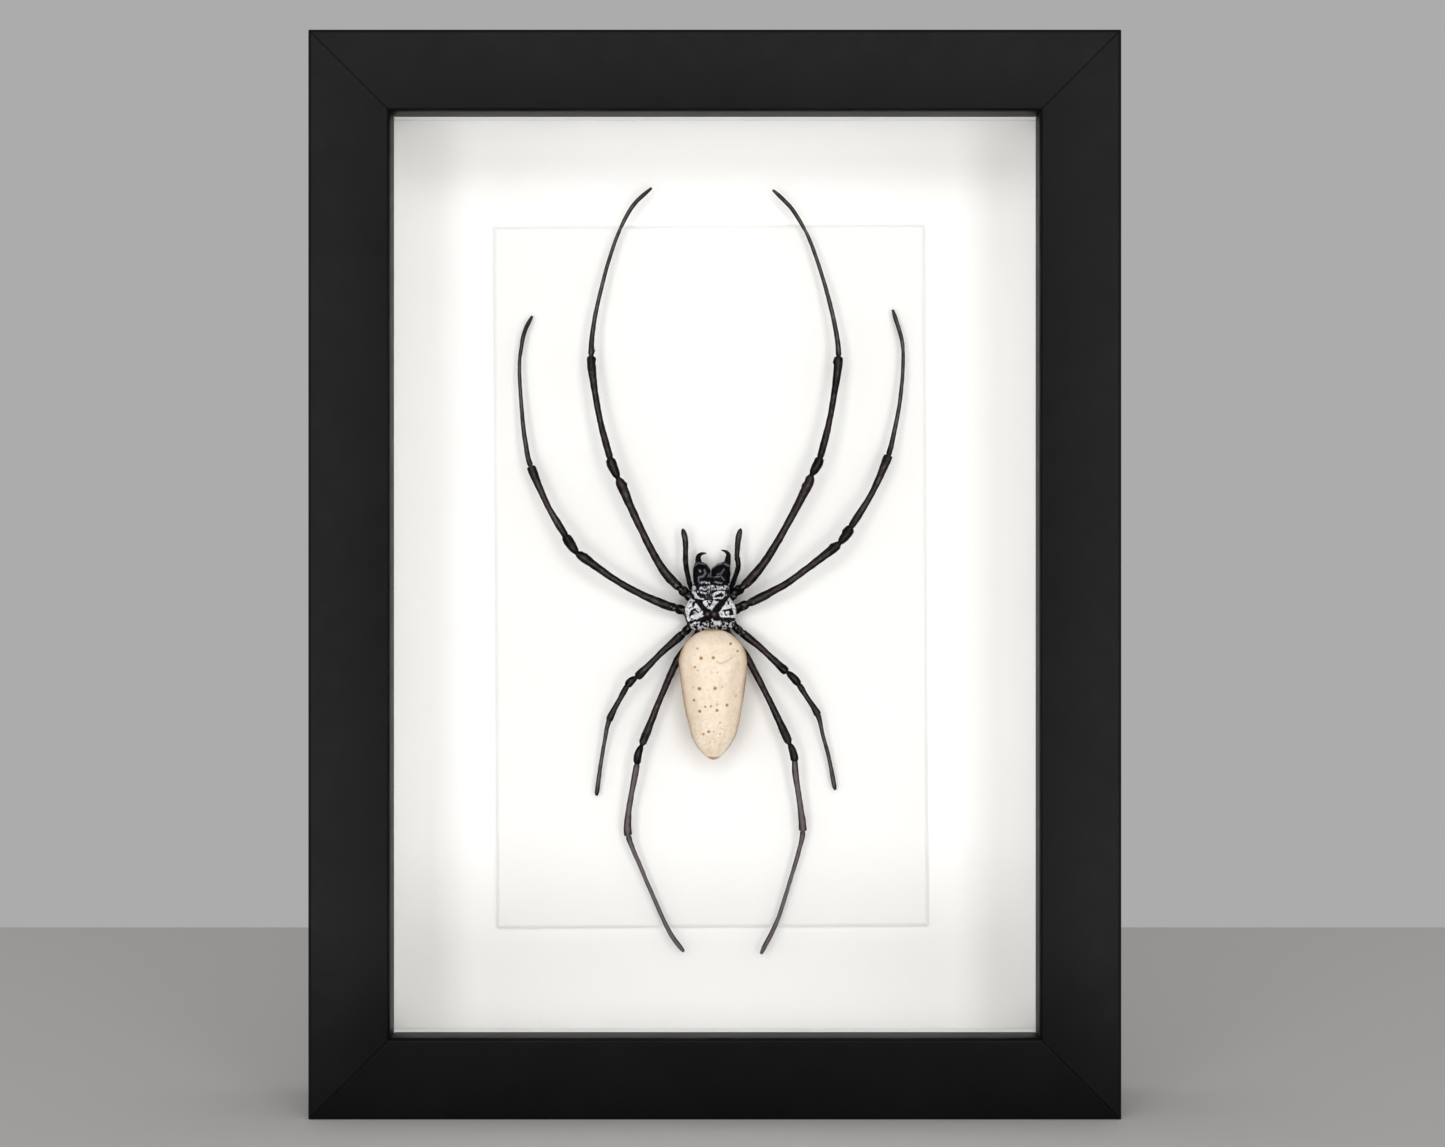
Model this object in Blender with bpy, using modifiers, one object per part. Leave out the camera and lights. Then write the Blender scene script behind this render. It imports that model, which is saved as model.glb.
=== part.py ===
"""Framed orb-weaver spider: a large golden orb-weaver female, fixed on a raised panel in a black box frame.

Metres, +Z up. The frame stands on its bottom rail at z = 0, faces -Y, and is centred on x = 0 and y = 0.
Places on the panel are in millimetres: to the right of the frame's middle, above it, and out of the panel.
"""

import math
from collections import namedtuple

import bmesh
import bpy
from mathutils import Matrix, Vector

MM = 0.001
GAP = 0.3 * MM  # between pieces that touch
CAP_WELD = 0.001 * MM
POLE_WELD = 0.01 * MM
ROUND_PROFILE = 0.5  # of a bevel

# Frame
SIGHT_WIDTH = 119.6 * MM
SIGHT_HEIGHT = 170.6 * MM
RAIL_FACE = 15.1 * MM
FRAME_DEPTH = 34.0 * MM
LIP_DEPTH = 6.5 * MM
REBATE_LAP = 4.0 * MM
OUTER_ARRIS = 0.7 * MM
LIP_ARRIS = 0.9 * MM
ARRIS_STEPS = 3

# What fills the rebate, from the front to the back
GLASS_THICKNESS = 2.0 * MM
SPACER_DEPTH = 17.3 * MM
SPACER_THICKNESS = 1.0 * MM
BOARD_THICKNESS = 1.6 * MM
BACK_THICKNESS = 3.0 * MM

# Raised panel under the spider
PANEL_WIDTH = 83.4 * MM
PANEL_HEIGHT = 135.6 * MM
PANEL_THICKNESS = 1.1 * MM
PANEL_BEVEL = 0.8 * MM
PANEL_SHIFT_X = -0.8 * MM
PANEL_SHIFT_Z = -0.4 * MM
PANEL_TURN = math.radians(-0.3)

# Flat steel points in slots in the rails
RETAINER_WIDTH = 6.0 * MM
RETAINER_THICKNESS = 0.6 * MM
RETAINER_REACH = 9.0 * MM
RETAINER_TAIL = 4.2 * MM
RETAINER_ROUNDING = 2.0 * MM
ROUNDING_STEPS = 3
RETAINER_SPREAD = 45.0 * MM

# Toothed hanger
HANGER_WIDTH = 44.0 * MM
HANGER_HEIGHT = 7.0 * MM
HANGER_THICKNESS = 0.7 * MM
HANGER_FOOT = 7.0 * MM
HANGER_RISE = 0.9 * MM
HANGER_DROP = 27.0 * MM
TOOTH_HEIGHT = 1.6 * MM
TOOTH_COUNT = 11
RIVET_SPREAD = 18.5 * MM
RIVET_RADIUS = 1.0 * MM
RIVET_HEAD_RADIUS = 2.1 * MM
RIVET_HEAD_HEIGHT = 0.8 * MM
RIVET_STEPS = 16
RIVET_HEAD_RINGS = 4
RIVET_HOLE_LENGTH = 16.0 * MM

# Worked out from the above
OUTER_WIDTH = SIGHT_WIDTH + 2 * RAIL_FACE
OUTER_HEIGHT = SIGHT_HEIGHT + 2 * RAIL_FACE
REBATE_WALL = RAIL_FACE - REBATE_LAP
FRONT = -FRAME_DEPTH / 2
MIDDLE = Vector((0, 0, OUTER_HEIGHT / 2))
FILL_WIDTH = OUTER_WIDTH - 2 * (REBATE_WALL + GAP)
FILL_HEIGHT = OUTER_HEIGHT - 2 * (REBATE_WALL + GAP)
GLASS_FRONT = FRONT + LIP_DEPTH + GAP
SPACER_FRONT = GLASS_FRONT + GLASS_THICKNESS + GAP
BOARD_FRONT = SPACER_FRONT + SPACER_DEPTH + GAP
BACK_FRONT = BOARD_FRONT + BOARD_THICKNESS + GAP
BACK_REAR = BACK_FRONT + BACK_THICKNESS
PANEL_REAR = BOARD_FRONT - GAP
PANEL_FRONT = PANEL_REAR - PANEL_THICKNESS

# Spider: one row for each station along the body, as (up, half width, lowest, edge, highest)
BodyRow = namedtuple("BodyRow", "up half_width lowest edge highest")
CARAPACE_MIDDLE = -0.84
CARAPACE_ROWS = (
    BodyRow(-1.9, 0.0, 4.6, 4.6, 4.6),
    BodyRow(-2.1, 2.5, 3.4, 4.6, 6.2),
    BodyRow(-3.0, 3.7, 2.2, 4.4, 7.0),
    BodyRow(-4.6, 3.9, 1.2, 4.2, 7.2),
    BodyRow(-5.4, 4.5, 0.7, 4.1, 6.8),
    BodyRow(-6.9, 5.05, 0.4, 4.0, 6.2),
    BodyRow(-8.6, 4.8, 0.4, 4.0, 5.8),
    BodyRow(-10.0, 3.9, 0.9, 4.0, 5.2),
    BodyRow(-10.7, 2.2, 2.0, 3.9, 4.7),
    BodyRow(-10.9, 0.0, 3.8, 3.8, 3.8),
)
ABDOMEN_MIDDLE = -0.45
ABDOMEN_ROWS = (
    BodyRow(-10.3, 0.0, 7.3, 7.3, 7.3),
    BodyRow(-11.0, 3.2, 5.0, 7.3, 9.6),
    BodyRow(-12.6, 5.25, 3.0, 7.3, 11.4),
    BodyRow(-16.0, 6.3, 1.8, 7.2, 12.6),
    BodyRow(-18.0, 6.45, 1.7, 7.1, 12.8),
    BodyRow(-25.1, 5.4, 1.8, 6.8, 11.9),
    BodyRow(-30.7, 4.15, 2.4, 6.4, 10.3),
    BodyRow(-34.0, 2.6, 3.6, 6.2, 8.8),
    BodyRow(-35.4, 0.0, 6.2, 6.2, 6.2),
)
CHELICERA_MIDDLES = {"left": -2.55, "right": 1.25}
CHELICERA_ROWS = (
    BodyRow(-1.6, 0.0, 4.4, 4.4, 4.4),
    BodyRow(-1.5, 1.0, 3.3, 4.4, 5.5),
    BodyRow(-0.8, 1.45, 2.6, 4.3, 5.9),
    BodyRow(0.5, 1.6, 2.2, 3.9, 5.5),
    BodyRow(1.6, 1.55, 2.0, 3.5, 4.8),
    BodyRow(2.25, 1.1, 2.2, 3.2, 4.1),
    BodyRow(2.35, 0.0, 3.1, 3.1, 3.1),
)
BODY_SIDES = 20
BODY_RINGS = 14
JAW_SIDES = 12
JAW_RINGS = 9
UNDERSIDE_TAPER = 0.35
TUBE_RESOLUTION = 2

PEDICEL_RADIUS = 0.6
PEDICEL_PATH = ((-0.65, -11.2, 3.5), (-0.55, -12.0, 2.7))
FANG_WIDTHS = (0.9, 0.8, 0.5, 0.2)
FANG_PATHS = {
    "left": ((-3.2, 2.65, 3.3), (-3.25, 3.4, 3.0), (-2.5, 4.05, 2.5), (-1.6, 4.1, 2.1)),
    "right": ((2.45, 2.6, 3.3), (2.55, 3.55, 3.0), (2.15, 4.25, 2.5), (1.3, 4.6, 2.1)),
}

# Width along each segment, as (fraction of its length, fraction of its full width)
SEGMENT_SHAPES = {
    "coxa": ((0.0, 0.95), (0.6, 1.0)),
    "femur": ((0.0, 0.9), (0.12, 1.0), (0.3, 0.82), (0.55, 0.73), (0.78, 0.84), (0.92, 1.0)),
    "patella": ((0.0, 0.72), (0.35, 0.96), (0.7, 1.0)),
    "tibia": ((0.0, 0.74), (0.14, 0.84), (0.4, 0.68), (0.65, 0.74), (0.9, 1.0)),
    "metatarsus": ((0.0, 1.0), (0.08, 0.98), (0.2, 0.86), (0.32, 0.78), (0.45, 0.7), (0.58, 0.65),
                   (0.71, 0.63), (0.84, 0.72), (0.95, 0.7), (1.0, 0.4)),
}
SEGMENTS = tuple(SEGMENT_SHAPES)
LEG_WIDTHS = {
    "leg_1": (2.0, 1.85, 1.85, 1.65, 0.95),
    "leg_2": (2.0, 1.75, 1.85, 1.7, 0.95),
    "leg_3": (1.7, 1.65, 1.5, 1.4, 0.85),
    "leg_4": (1.4, 1.6, 1.5, 1.5, 0.95),
    "pedipalp": (0.95, 1.0, 1.05, 0.95, 1.0),
}

# Legs and pedipalps: for each segment, its near joint and the points that it bends through
LIMB_JOINTS = {
    "leg_1_left": (
        ((-5.0, -4.0, 2.8),),
        ((-6.6, -2.7, 3.3), (-9.7, 0.6, 4.0), (-12.3, 5.0, 4.7), (-16.0, 12.7, 5.6), (-17.4, 16.1, 5.9)),
        ((-18.4, 18.1, 6.0), (-19.8, 21.1, 6.2)),
        ((-20.4, 23.4, 6.1), (-21.8, 28.9, 5.6), (-23.0, 35.3, 5.1)),
        ((-23.7, 41.9, 4.5), (-23.1, 48.8, 3.9), (-21.4, 56.5, 3.2), (-20.1, 61.2, 2.8),
         (-18.2, 66.5, 2.3), (-15.6, 71.2, 1.9), (-12.2, 74.5, 1.4)),
    ),
    "leg_1_right": (
        ((3.5, -3.8, 2.8),),
        ((5.3, -2.4, 3.3), (7.4, -0.3, 4.0), (9.9, 2.9, 4.6), (13.4, 8.7, 5.3), (17.3, 16.1, 5.9)),
        ((18.6, 18.3, 6.0), (19.8, 21.1, 6.2)),
        ((20.4, 23.4, 6.1), (21.7, 28.4, 5.7), (22.8, 34.3, 5.2)),
        ((23.7, 41.8, 4.5), (22.9, 48.4, 3.9), (20.9, 56.4, 3.2), (18.2, 64.4, 2.5),
         (15.4, 69.6, 2.0), (13.3, 72.1, 1.7), (11.2, 74.1, 1.4)),
    ),
    "leg_2_left": (
        ((-5.65, -7.0, 2.6),),
        ((-7.4, -6.5, 3.2), (-10.3, -5.5, 3.8), (-15.1, -3.3, 4.6), (-19.7, -0.6, 5.2), (-25.0, 3.2, 5.7)),
        ((-26.3, 4.1, 5.8), (-27.7, 6.0, 5.9)),
        ((-28.5, 7.4, 5.8), (-30.1, 9.9, 5.4), (-32.3, 13.8, 4.9)),
        ((-35.3, 20.8, 4.2), (-36.3, 25.1, 3.7), (-37.0, 30.6, 3.1), (-37.6, 39.5, 2.4),
         (-37.2, 44.0, 2.0), (-36.6, 46.9, 1.7), (-35.2, 49.8, 1.3)),
    ),
    "leg_2_right": (
        ((4.2, -6.6, 2.6),),
        ((6.3, -5.6, 3.2), (7.7, -5.0, 3.6), (11.3, -3.1, 4.2), (14.8, -1.0, 4.7), (21.8, 4.3, 5.6)),
        ((23.4, 5.5, 5.8), (25.1, 7.6, 5.9)),
        ((26.0, 9.1, 5.8), (28.5, 12.9, 5.3), (30.6, 16.6, 4.8)),
        ((33.3, 22.9, 4.2), (34.7, 28.7, 3.6), (35.6, 33.5, 3.1), (36.2, 40.3, 2.5),
         (36.0, 45.1, 2.0), (34.3, 51.0, 1.3)),
    ),
    "leg_3_left": (
        ((-4.6, -9.8, 2.5),),
        ((-6.0, -11.3, 3.0), (-9.7, -14.5, 3.9), (-14.0, -18.8, 4.7)),
        ((-15.1, -19.7, 4.8), (-16.1, -20.5, 4.8)),
        ((-16.8, -21.4, 4.7), (-18.1, -23.7, 4.2)),
        ((-20.3, -28.0, 3.2), (-21.2, -32.1, 2.5), (-22.0, -36.8, 1.9), (-22.8, -42.6, 1.2)),
    ),
    "leg_3_right": (
        ((3.4, -9.6, 2.5),),
        ((5.1, -11.1, 3.0), (8.6, -13.9, 3.9), (12.9, -17.9, 4.7)),
        ((13.9, -18.7, 4.8), (15.2, -19.9, 4.8)),
        ((16.1, -21.1, 4.7), (17.5, -23.3, 4.2)),
        ((19.8, -27.0, 3.2), (20.8, -31.0, 2.6), (21.9, -35.0, 2.0), (23.2, -41.5, 1.2)),
    ),
    "leg_4_left": (
        ((-3.2, -11.2, 1.7),),
        ((-4.5, -13.0, 2.0), (-6.0, -14.9, 2.3), (-7.6, -17.3, 2.6), (-10.5, -23.9, 3.7),
         (-12.1, -27.9, 4.2)),
        ((-14.0, -32.7, 4.6), (-14.7, -34.5, 4.7)),
        ((-14.9, -36.3, 4.6), (-15.4, -39.0, 4.3), (-16.5, -45.3, 3.7)),
        ((-16.6, -50.2, 3.2), (-14.4, -55.9, 2.7), (-12.4, -60.7, 2.3), (-8.8, -68.7, 1.7),
         (-6.0, -72.7, 1.3)),
    ),
    "leg_4_right": (
        ((2.4, -11.1, 1.7),),
        ((3.8, -12.9, 2.0), (5.1, -14.5, 2.3), (6.5, -16.5, 2.6), (10.2, -23.6, 3.7), (12.3, -28.0, 4.2)),
        ((14.3, -32.4, 4.6), (15.0, -34.1, 4.7)),
        ((15.3, -35.8, 4.6), (15.5, -38.5, 4.3), (16.4, -44.5, 3.7)),
        ((16.9, -49.3, 3.2), (16.2, -53.0, 2.8), (14.8, -57.9, 2.4), (12.0, -66.7, 1.8),
         (8.9, -73.1, 1.3)),
    ),
    "pedipalp_left": (
        ((-4.75, -1.95, 3.3),),
        ((-4.95, -1.3, 3.6),),
        ((-5.5, 1.5, 4.2),),
        ((-5.6, 3.3, 4.2),),
        ((-5.6, 5.2, 4.0), (-5.7, 6.8, 3.7), (-6.2, 8.8, 3.2)),
    ),
    "pedipalp_right": (
        ((3.35, -2.0, 3.3),),
        ((3.6, -1.3, 3.6),),
        ((4.5, 1.5, 4.2),),
        ((4.3, 3.3, 4.2),),
        ((4.3, 5.2, 4.0), (4.4, 6.8, 3.7), (4.8, 8.8, 3.2)),
    ),
}
SPAN_STEPS = 12


def clear_scene():
    for obj in list(bpy.data.objects):
        bpy.data.objects.remove(obj)


def new_collection(name):
    collection = bpy.data.collections.new(name)
    bpy.context.scene.collection.children.link(collection)
    return collection


def material(name, colour, roughness, metallic=0.0, transmission=0.0):
    made = bpy.data.materials.new(name)
    made.use_nodes = True
    shader = made.node_tree.nodes["Principled BSDF"]
    shader.inputs["Base Color"].default_value = (*colour, 1.0)
    shader.inputs["Roughness"].default_value = roughness
    shader.inputs["Metallic"].default_value = metallic
    shader.inputs["Transmission Weight"].default_value = transmission
    return made


def add_object(name, data, finish, collection):
    obj = bpy.data.objects.new(name, data)
    data.materials.append(finish)
    collection.objects.link(obj)
    return obj


def mesh_from(name, work):
    mesh = bpy.data.meshes.new(name)
    work.to_mesh(mesh)
    work.free()
    return mesh


def box_mesh(name, size):
    work = bmesh.new()
    bmesh.ops.create_cube(work, size=1.0, matrix=Matrix.Diagonal((*size, 1.0)))
    return mesh_from(name, work)


def box(name, centre, size, finish, collection):
    obj = add_object(name, box_mesh(name, size), finish, collection)
    obj.location = centre
    return obj


def cut(obj, cutter):
    """Takes the cutter's shape out of the object."""
    cutter.hide_render = True
    cutter.display_type = "WIRE"
    modifier = obj.modifiers.new("cut", "BOOLEAN")
    modifier.operation = "DIFFERENCE"
    modifier.solver = "EXACT"
    modifier.object = cutter


def turn_about_frame(obj, angle, along, depth, outward):
    """Places something made for the bottom rail on the rail that is this angle round the frame from it."""
    obj.rotation_euler = (0, angle, 0)
    offset = Vector((along, 0, -outward))
    offset.rotate(Matrix.Rotation(angle, 3, "Y"))
    obj.location = MIDDLE + offset + Vector((0, depth, 0))


def arc(centre, radius, start, end, steps):
    angles = [start + (end - start) * i / steps for i in range(steps + 1)]
    return [(centre[0] + radius * math.cos(a), centre[1] + radius * math.sin(a)) for a in angles]


def rail_outline():
    """The moulding's section as (distance in from the outer edge, depth from the front)."""
    quarter = math.pi / 2
    outer = arc((OUTER_ARRIS, OUTER_ARRIS), OUTER_ARRIS, math.pi, 3 * quarter, ARRIS_STEPS)
    lip = arc((RAIL_FACE - LIP_ARRIS, LIP_ARRIS), LIP_ARRIS, -quarter, 0, ARRIS_STEPS)
    rebate = [(RAIL_FACE, LIP_DEPTH), (REBATE_WALL, LIP_DEPTH), (REBATE_WALL, FRAME_DEPTH), (0, FRAME_DEPTH)]
    return outer + lip + rebate


def closed_mesh(obj):
    """The object's evaluated mesh with its caps welded, as a bmesh."""
    mesh = bpy.data.meshes.new_from_object(obj.evaluated_get(bpy.context.evaluated_depsgraph_get()))
    work = bmesh.new()
    work.from_mesh(mesh)
    bpy.data.meshes.remove(mesh)
    bmesh.ops.remove_doubles(work, verts=work.verts, dist=CAP_WELD)
    return work


def rail(name, length, angle, outward, finish, collection):
    """A length of the moulding with a mitre at each end, for one side of the frame."""
    flat = bpy.data.curves.new(name, "CURVE")
    flat.dimensions = "2D"
    flat.fill_mode = "BOTH"
    flat.extrude = length / 2
    outline = rail_outline()
    spline = flat.splines.new("POLY")
    spline.points.add(len(outline) - 1)
    for point, (inset, depth) in zip(spline.points, outline):
        point.co = (inset, depth, 0, 1)
    spline.use_cyclic_u = True
    guide = bpy.data.objects.new(name + "_outline", flat)
    collection.objects.link(guide)
    work = closed_mesh(guide)
    bpy.data.objects.remove(guide)
    mitre_gap = GAP / math.sqrt(2)
    for vert in work.verts:
        inset, depth, along = vert.co
        shortened = abs(along) - inset - mitre_gap
        vert.co = (math.copysign(shortened, along), depth, inset)
    bmesh.ops.recalc_face_normals(work, faces=work.faces)
    obj = add_object(name, mesh_from(name, work), finish, collection)
    turn_about_frame(obj, angle, 0, FRONT, outward)
    return obj


def retainer(name, rail_object, angle, along, outward, finish, collection, cutters):
    """A flat steel point with a round end, and the slot that its tail sits in."""
    length = RETAINER_REACH + RETAINER_TAIL
    wall = outward - REBATE_WALL
    depth = BACK_REAR + GAP + RETAINER_THICKNESS / 2
    work = bmesh.new()
    size = Matrix.Diagonal((RETAINER_WIDTH, RETAINER_THICKNESS, length, 1.0))
    bmesh.ops.create_cube(work, size=1.0, matrix=size)
    tip_edges = [e for e in work.edges if all(v.co.z > 0 for v in e.verts) and
                 abs(e.verts[0].co.y - e.verts[1].co.y) > RETAINER_THICKNESS / 2]
    bmesh.ops.bevel(work, geom=tip_edges, offset=RETAINER_ROUNDING, segments=ROUNDING_STEPS,
                    profile=ROUND_PROFILE, affect="EDGES")
    point = add_object(name, mesh_from(name, work), finish, collection)
    turn_about_frame(point, angle, along, depth, wall + RETAINER_TAIL - length / 2)
    slot_size = (RETAINER_WIDTH + 2 * GAP, RETAINER_THICKNESS + 2 * GAP, 2 * (RETAINER_TAIL + GAP))
    slot = add_object(name + "_slot", box_mesh(name + "_slot", slot_size), finish, cutters)
    turn_about_frame(slot, angle, along, depth, wall)
    cut(rail_object, slot)


def hanger_stations():
    """Along the hanger from left to right: (along, how far it stands off, the height of its lower edge)."""
    half = HANGER_WIDTH / 2
    low = -HANGER_HEIGHT / 2
    foot = half - HANGER_FOOT
    teeth = foot - HANGER_RISE
    stations = [(-half, 0, low), (-foot, 0, low)]
    for i in range(2 * TOOTH_COUNT + 1):
        up = low if i % 2 == 0 else low + TOOTH_HEIGHT
        stations.append((-teeth + 2 * teeth * i / (2 * TOOTH_COUNT), HANGER_RISE, up))
    return stations + [(foot, 0, low), (half, 0, low)]


def hanger(finish, collection):
    work = bmesh.new()
    rows = []
    for along, rise, low in hanger_stations():
        rows.append([work.verts.new((along, rise, up)) for up in (HANGER_HEIGHT / 2, low)])
    for left, right in zip(rows, rows[1:]):
        work.faces.new((left[0], left[1], right[1], right[0]))
    obj = add_object("sawtooth_hanger", mesh_from("sawtooth_hanger", work), finish, collection)
    obj.location = MIDDLE + Vector((0, BACK_REAR + GAP, OUTER_HEIGHT / 2 - HANGER_DROP))
    wall = obj.modifiers.new("thickness", "SOLIDIFY")
    wall.thickness = HANGER_THICKNESS
    wall.offset = -1
    wall.use_even_offset = False
    return obj


def rivet(name, along, finish, collection):
    """A shank through the hanger and the back board, with a domed head at the back."""
    head_base = BACK_THICKNESS + GAP + HANGER_THICKNESS + GAP
    dome = arc((0, head_base), 1.0, math.pi / 2, 0, RIVET_HEAD_RINGS)
    profile = [(x * RIVET_HEAD_RADIUS, head_base + (z - head_base) * RIVET_HEAD_HEIGHT) for x, z in dome]
    profile += [(RIVET_RADIUS, head_base), (RIVET_RADIUS, 0), (0, 0)]
    work = bmesh.new()
    verts = [work.verts.new((x, 0, z)) for x, z in profile]
    for a, b in zip(verts, verts[1:]):
        work.edges.new((a, b))
    obj = add_object(name, mesh_from(name, work), finish, collection)
    screw = obj.modifiers.new("turned", "SCREW")
    screw.steps = screw.render_steps = RIVET_STEPS
    screw.use_merge_vertices = True
    screw.merge_threshold = CAP_WELD
    obj.rotation_euler = (-math.pi / 2, 0, 0)
    obj.location = MIDDLE + Vector((along, BACK_FRONT, OUTER_HEIGHT / 2 - HANGER_DROP))
    return obj


def rivet_hole(along, finish, cutters):
    work = bmesh.new()
    bmesh.ops.create_cone(work, cap_ends=True, segments=RIVET_STEPS, radius1=RIVET_RADIUS + GAP,
                          radius2=RIVET_RADIUS + GAP, depth=RIVET_HOLE_LENGTH)
    obj = add_object("rivet_hole", mesh_from("rivet_hole", work), finish, cutters)
    obj.rotation_euler = (-math.pi / 2, 0, 0)
    obj.location = MIDDLE + Vector((along, BACK_REAR, OUTER_HEIGHT / 2 - HANGER_DROP))
    return obj


def raised_panel(finish, collection):
    work = bmesh.new()
    size = Matrix.Diagonal((PANEL_WIDTH, PANEL_THICKNESS, PANEL_HEIGHT, 1.0))
    bmesh.ops.create_cube(work, size=1.0, matrix=size)
    front_edges = [e for e in work.edges if all(v.co.y < 0 for v in e.verts)]
    bmesh.ops.bevel(work, geom=front_edges, offset=PANEL_BEVEL, segments=1, affect="EDGES")
    obj = add_object("mount_panel", mesh_from("mount_panel", work), finish, collection)
    shift = Vector((PANEL_SHIFT_X, PANEL_FRONT + PANEL_THICKNESS / 2, PANEL_SHIFT_Z))
    obj.location = MIDDLE + shift
    obj.rotation_euler = (0, PANEL_TURN, 0)
    return obj


def on_panel(right, up, out):
    """A place given in millimetres from the panel and the frame's middle."""
    return MIDDLE + Vector((right * MM, PANEL_FRONT - out * MM, up * MM))


def catmull(a, b, c, d, t):
    """A point between b and c on a smooth curve through all four."""
    return 0.5 * (2 * b + (c - a) * t + (2 * a - 5 * b + 4 * c - d) * t**2 + (3 * b - a - 3 * c + d) * t**3)


def smooth_path(points):
    """Points along a smooth curve through these, SPAN_STEPS to a span, the first and last included."""
    points = [Vector(p) for p in points]
    ends = [2 * points[0] - points[1], *points, 2 * points[-1] - points[-2]]
    path = []
    for i in range(len(points) - 1):
        path += [catmull(*ends[i : i + 4], step / SPAN_STEPS) for step in range(SPAN_STEPS)]
    return path + [points[-1]]


def at_length(path, lengths, wanted):
    """The point at this distance along the path."""
    for i in range(len(path) - 1):
        if wanted <= lengths[i + 1]:
            span = lengths[i + 1] - lengths[i]
            return path[i].lerp(path[i + 1], (wanted - lengths[i]) / span)
    return path[-1]


def running_lengths(path):
    lengths = [0.0]
    for a, b in zip(path, path[1:]):
        lengths.append(lengths[-1] + (b - a).length)
    return lengths


def body_form(name, rows, middle, sides, rings, taper, finish, collection):
    """A closed form whose sections follow the rows, from one end of the body to the other."""
    path = smooth_path([row[:3] for row in rows])
    tops = smooth_path([row[2:] for row in rows])
    lengths = running_lengths(path)
    work = bmesh.new()
    bmesh.ops.create_uvsphere(work, u_segments=sides, v_segments=rings, radius=1.0)
    for vert in work.verts:
        ring = math.acos(max(-1.0, min(1.0, vert.co.z))) / math.pi
        turn = math.atan2(-vert.co.y, vert.co.x)
        wanted = ring * lengths[-1]
        up, half_width, lowest = at_length(path, lengths, wanted)
        _, edge, highest = at_length(tops, lengths, wanted)
        across = half_width * math.cos(turn)
        rise = math.sin(turn)
        if rise > 0:
            out = edge + (highest - edge) * rise
        else:
            out = edge + (edge - lowest) * rise
            across *= 1 + taper * rise
        vert.co = on_panel(middle + across, up, out)
    bmesh.ops.remove_doubles(work, verts=work.verts, dist=POLE_WELD)
    bmesh.ops.recalc_face_normals(work, faces=work.faces)
    obj = add_object(name, mesh_from(name, work), finish, collection)
    obj.data.shade_smooth()
    return obj


def tapered_tube(name, stations, finish, collection):
    """A round tube through the stations, each a place in metres and a width in millimetres."""
    tube = bpy.data.curves.new(name, "CURVE")
    tube.dimensions = "3D"
    tube.bevel_depth = MM / 2
    tube.bevel_resolution = TUBE_RESOLUTION
    tube.use_fill_caps = True
    spline = tube.splines.new("POLY")
    spline.points.add(len(stations) - 1)
    for point, (place, width) in zip(spline.points, stations):
        point.co = (*place, 1)
        point.radius = width
    return add_object(name, tube, finish, collection)


def limb(name, widths, joints, finish, collection):
    """A jointed leg or pedipalp as one tapered tube through its joints."""
    points = [point for segment in joints for point in segment]
    path = smooth_path(points)
    lengths = running_lengths(path)
    starts = [0]
    for segment in joints:
        starts.append(starts[-1] + len(segment))
    starts[-1] = len(points) - 1
    stations = []
    for i, segment in enumerate(SEGMENTS):
        near = lengths[starts[i] * SPAN_STEPS]
        far = lengths[starts[i + 1] * SPAN_STEPS]
        for fraction, width in SEGMENT_SHAPES[segment]:
            place = at_length(path, lengths, near + (far - near) * fraction)
            stations.append((on_panel(*place), width * widths[i]))
    return tapered_tube(name, stations, finish, collection)


def build_frame(parts, cutters):
    wood = material("black satin wood", (0.012, 0.012, 0.014), 0.45)
    steel = material("bright steel", (0.6, 0.6, 0.6), 0.35, metallic=1.0)
    sides = {
        "bottom": (OUTER_WIDTH, 0.0, OUTER_HEIGHT / 2),
        "left": (OUTER_HEIGHT, math.pi / 2, OUTER_WIDTH / 2),
        "top": (OUTER_WIDTH, math.pi, OUTER_HEIGHT / 2),
        "right": (OUTER_HEIGHT, 3 * math.pi / 2, OUTER_WIDTH / 2),
    }
    rails = {}
    for side, (length, angle, outward) in sides.items():
        rails[side] = rail("frame_rail_" + side, length, angle, outward, wood, parts)
    for side in ("bottom", "top"):
        _, angle, outward = sides[side]
        retainer("retainer_" + side, rails[side], angle, 0, outward, steel, parts, cutters)
    # a positive place along the left rail is below its middle, and one along the right rail is above
    for side, lower in (("left", 1), ("right", -1)):
        _, angle, outward = sides[side]
        for level, sign in (("lower", lower), ("upper", -lower)):
            retainer(f"retainer_{side}_{level}", rails[side], angle, sign * RETAINER_SPREAD, outward,
                     steel, parts, cutters)


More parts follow.
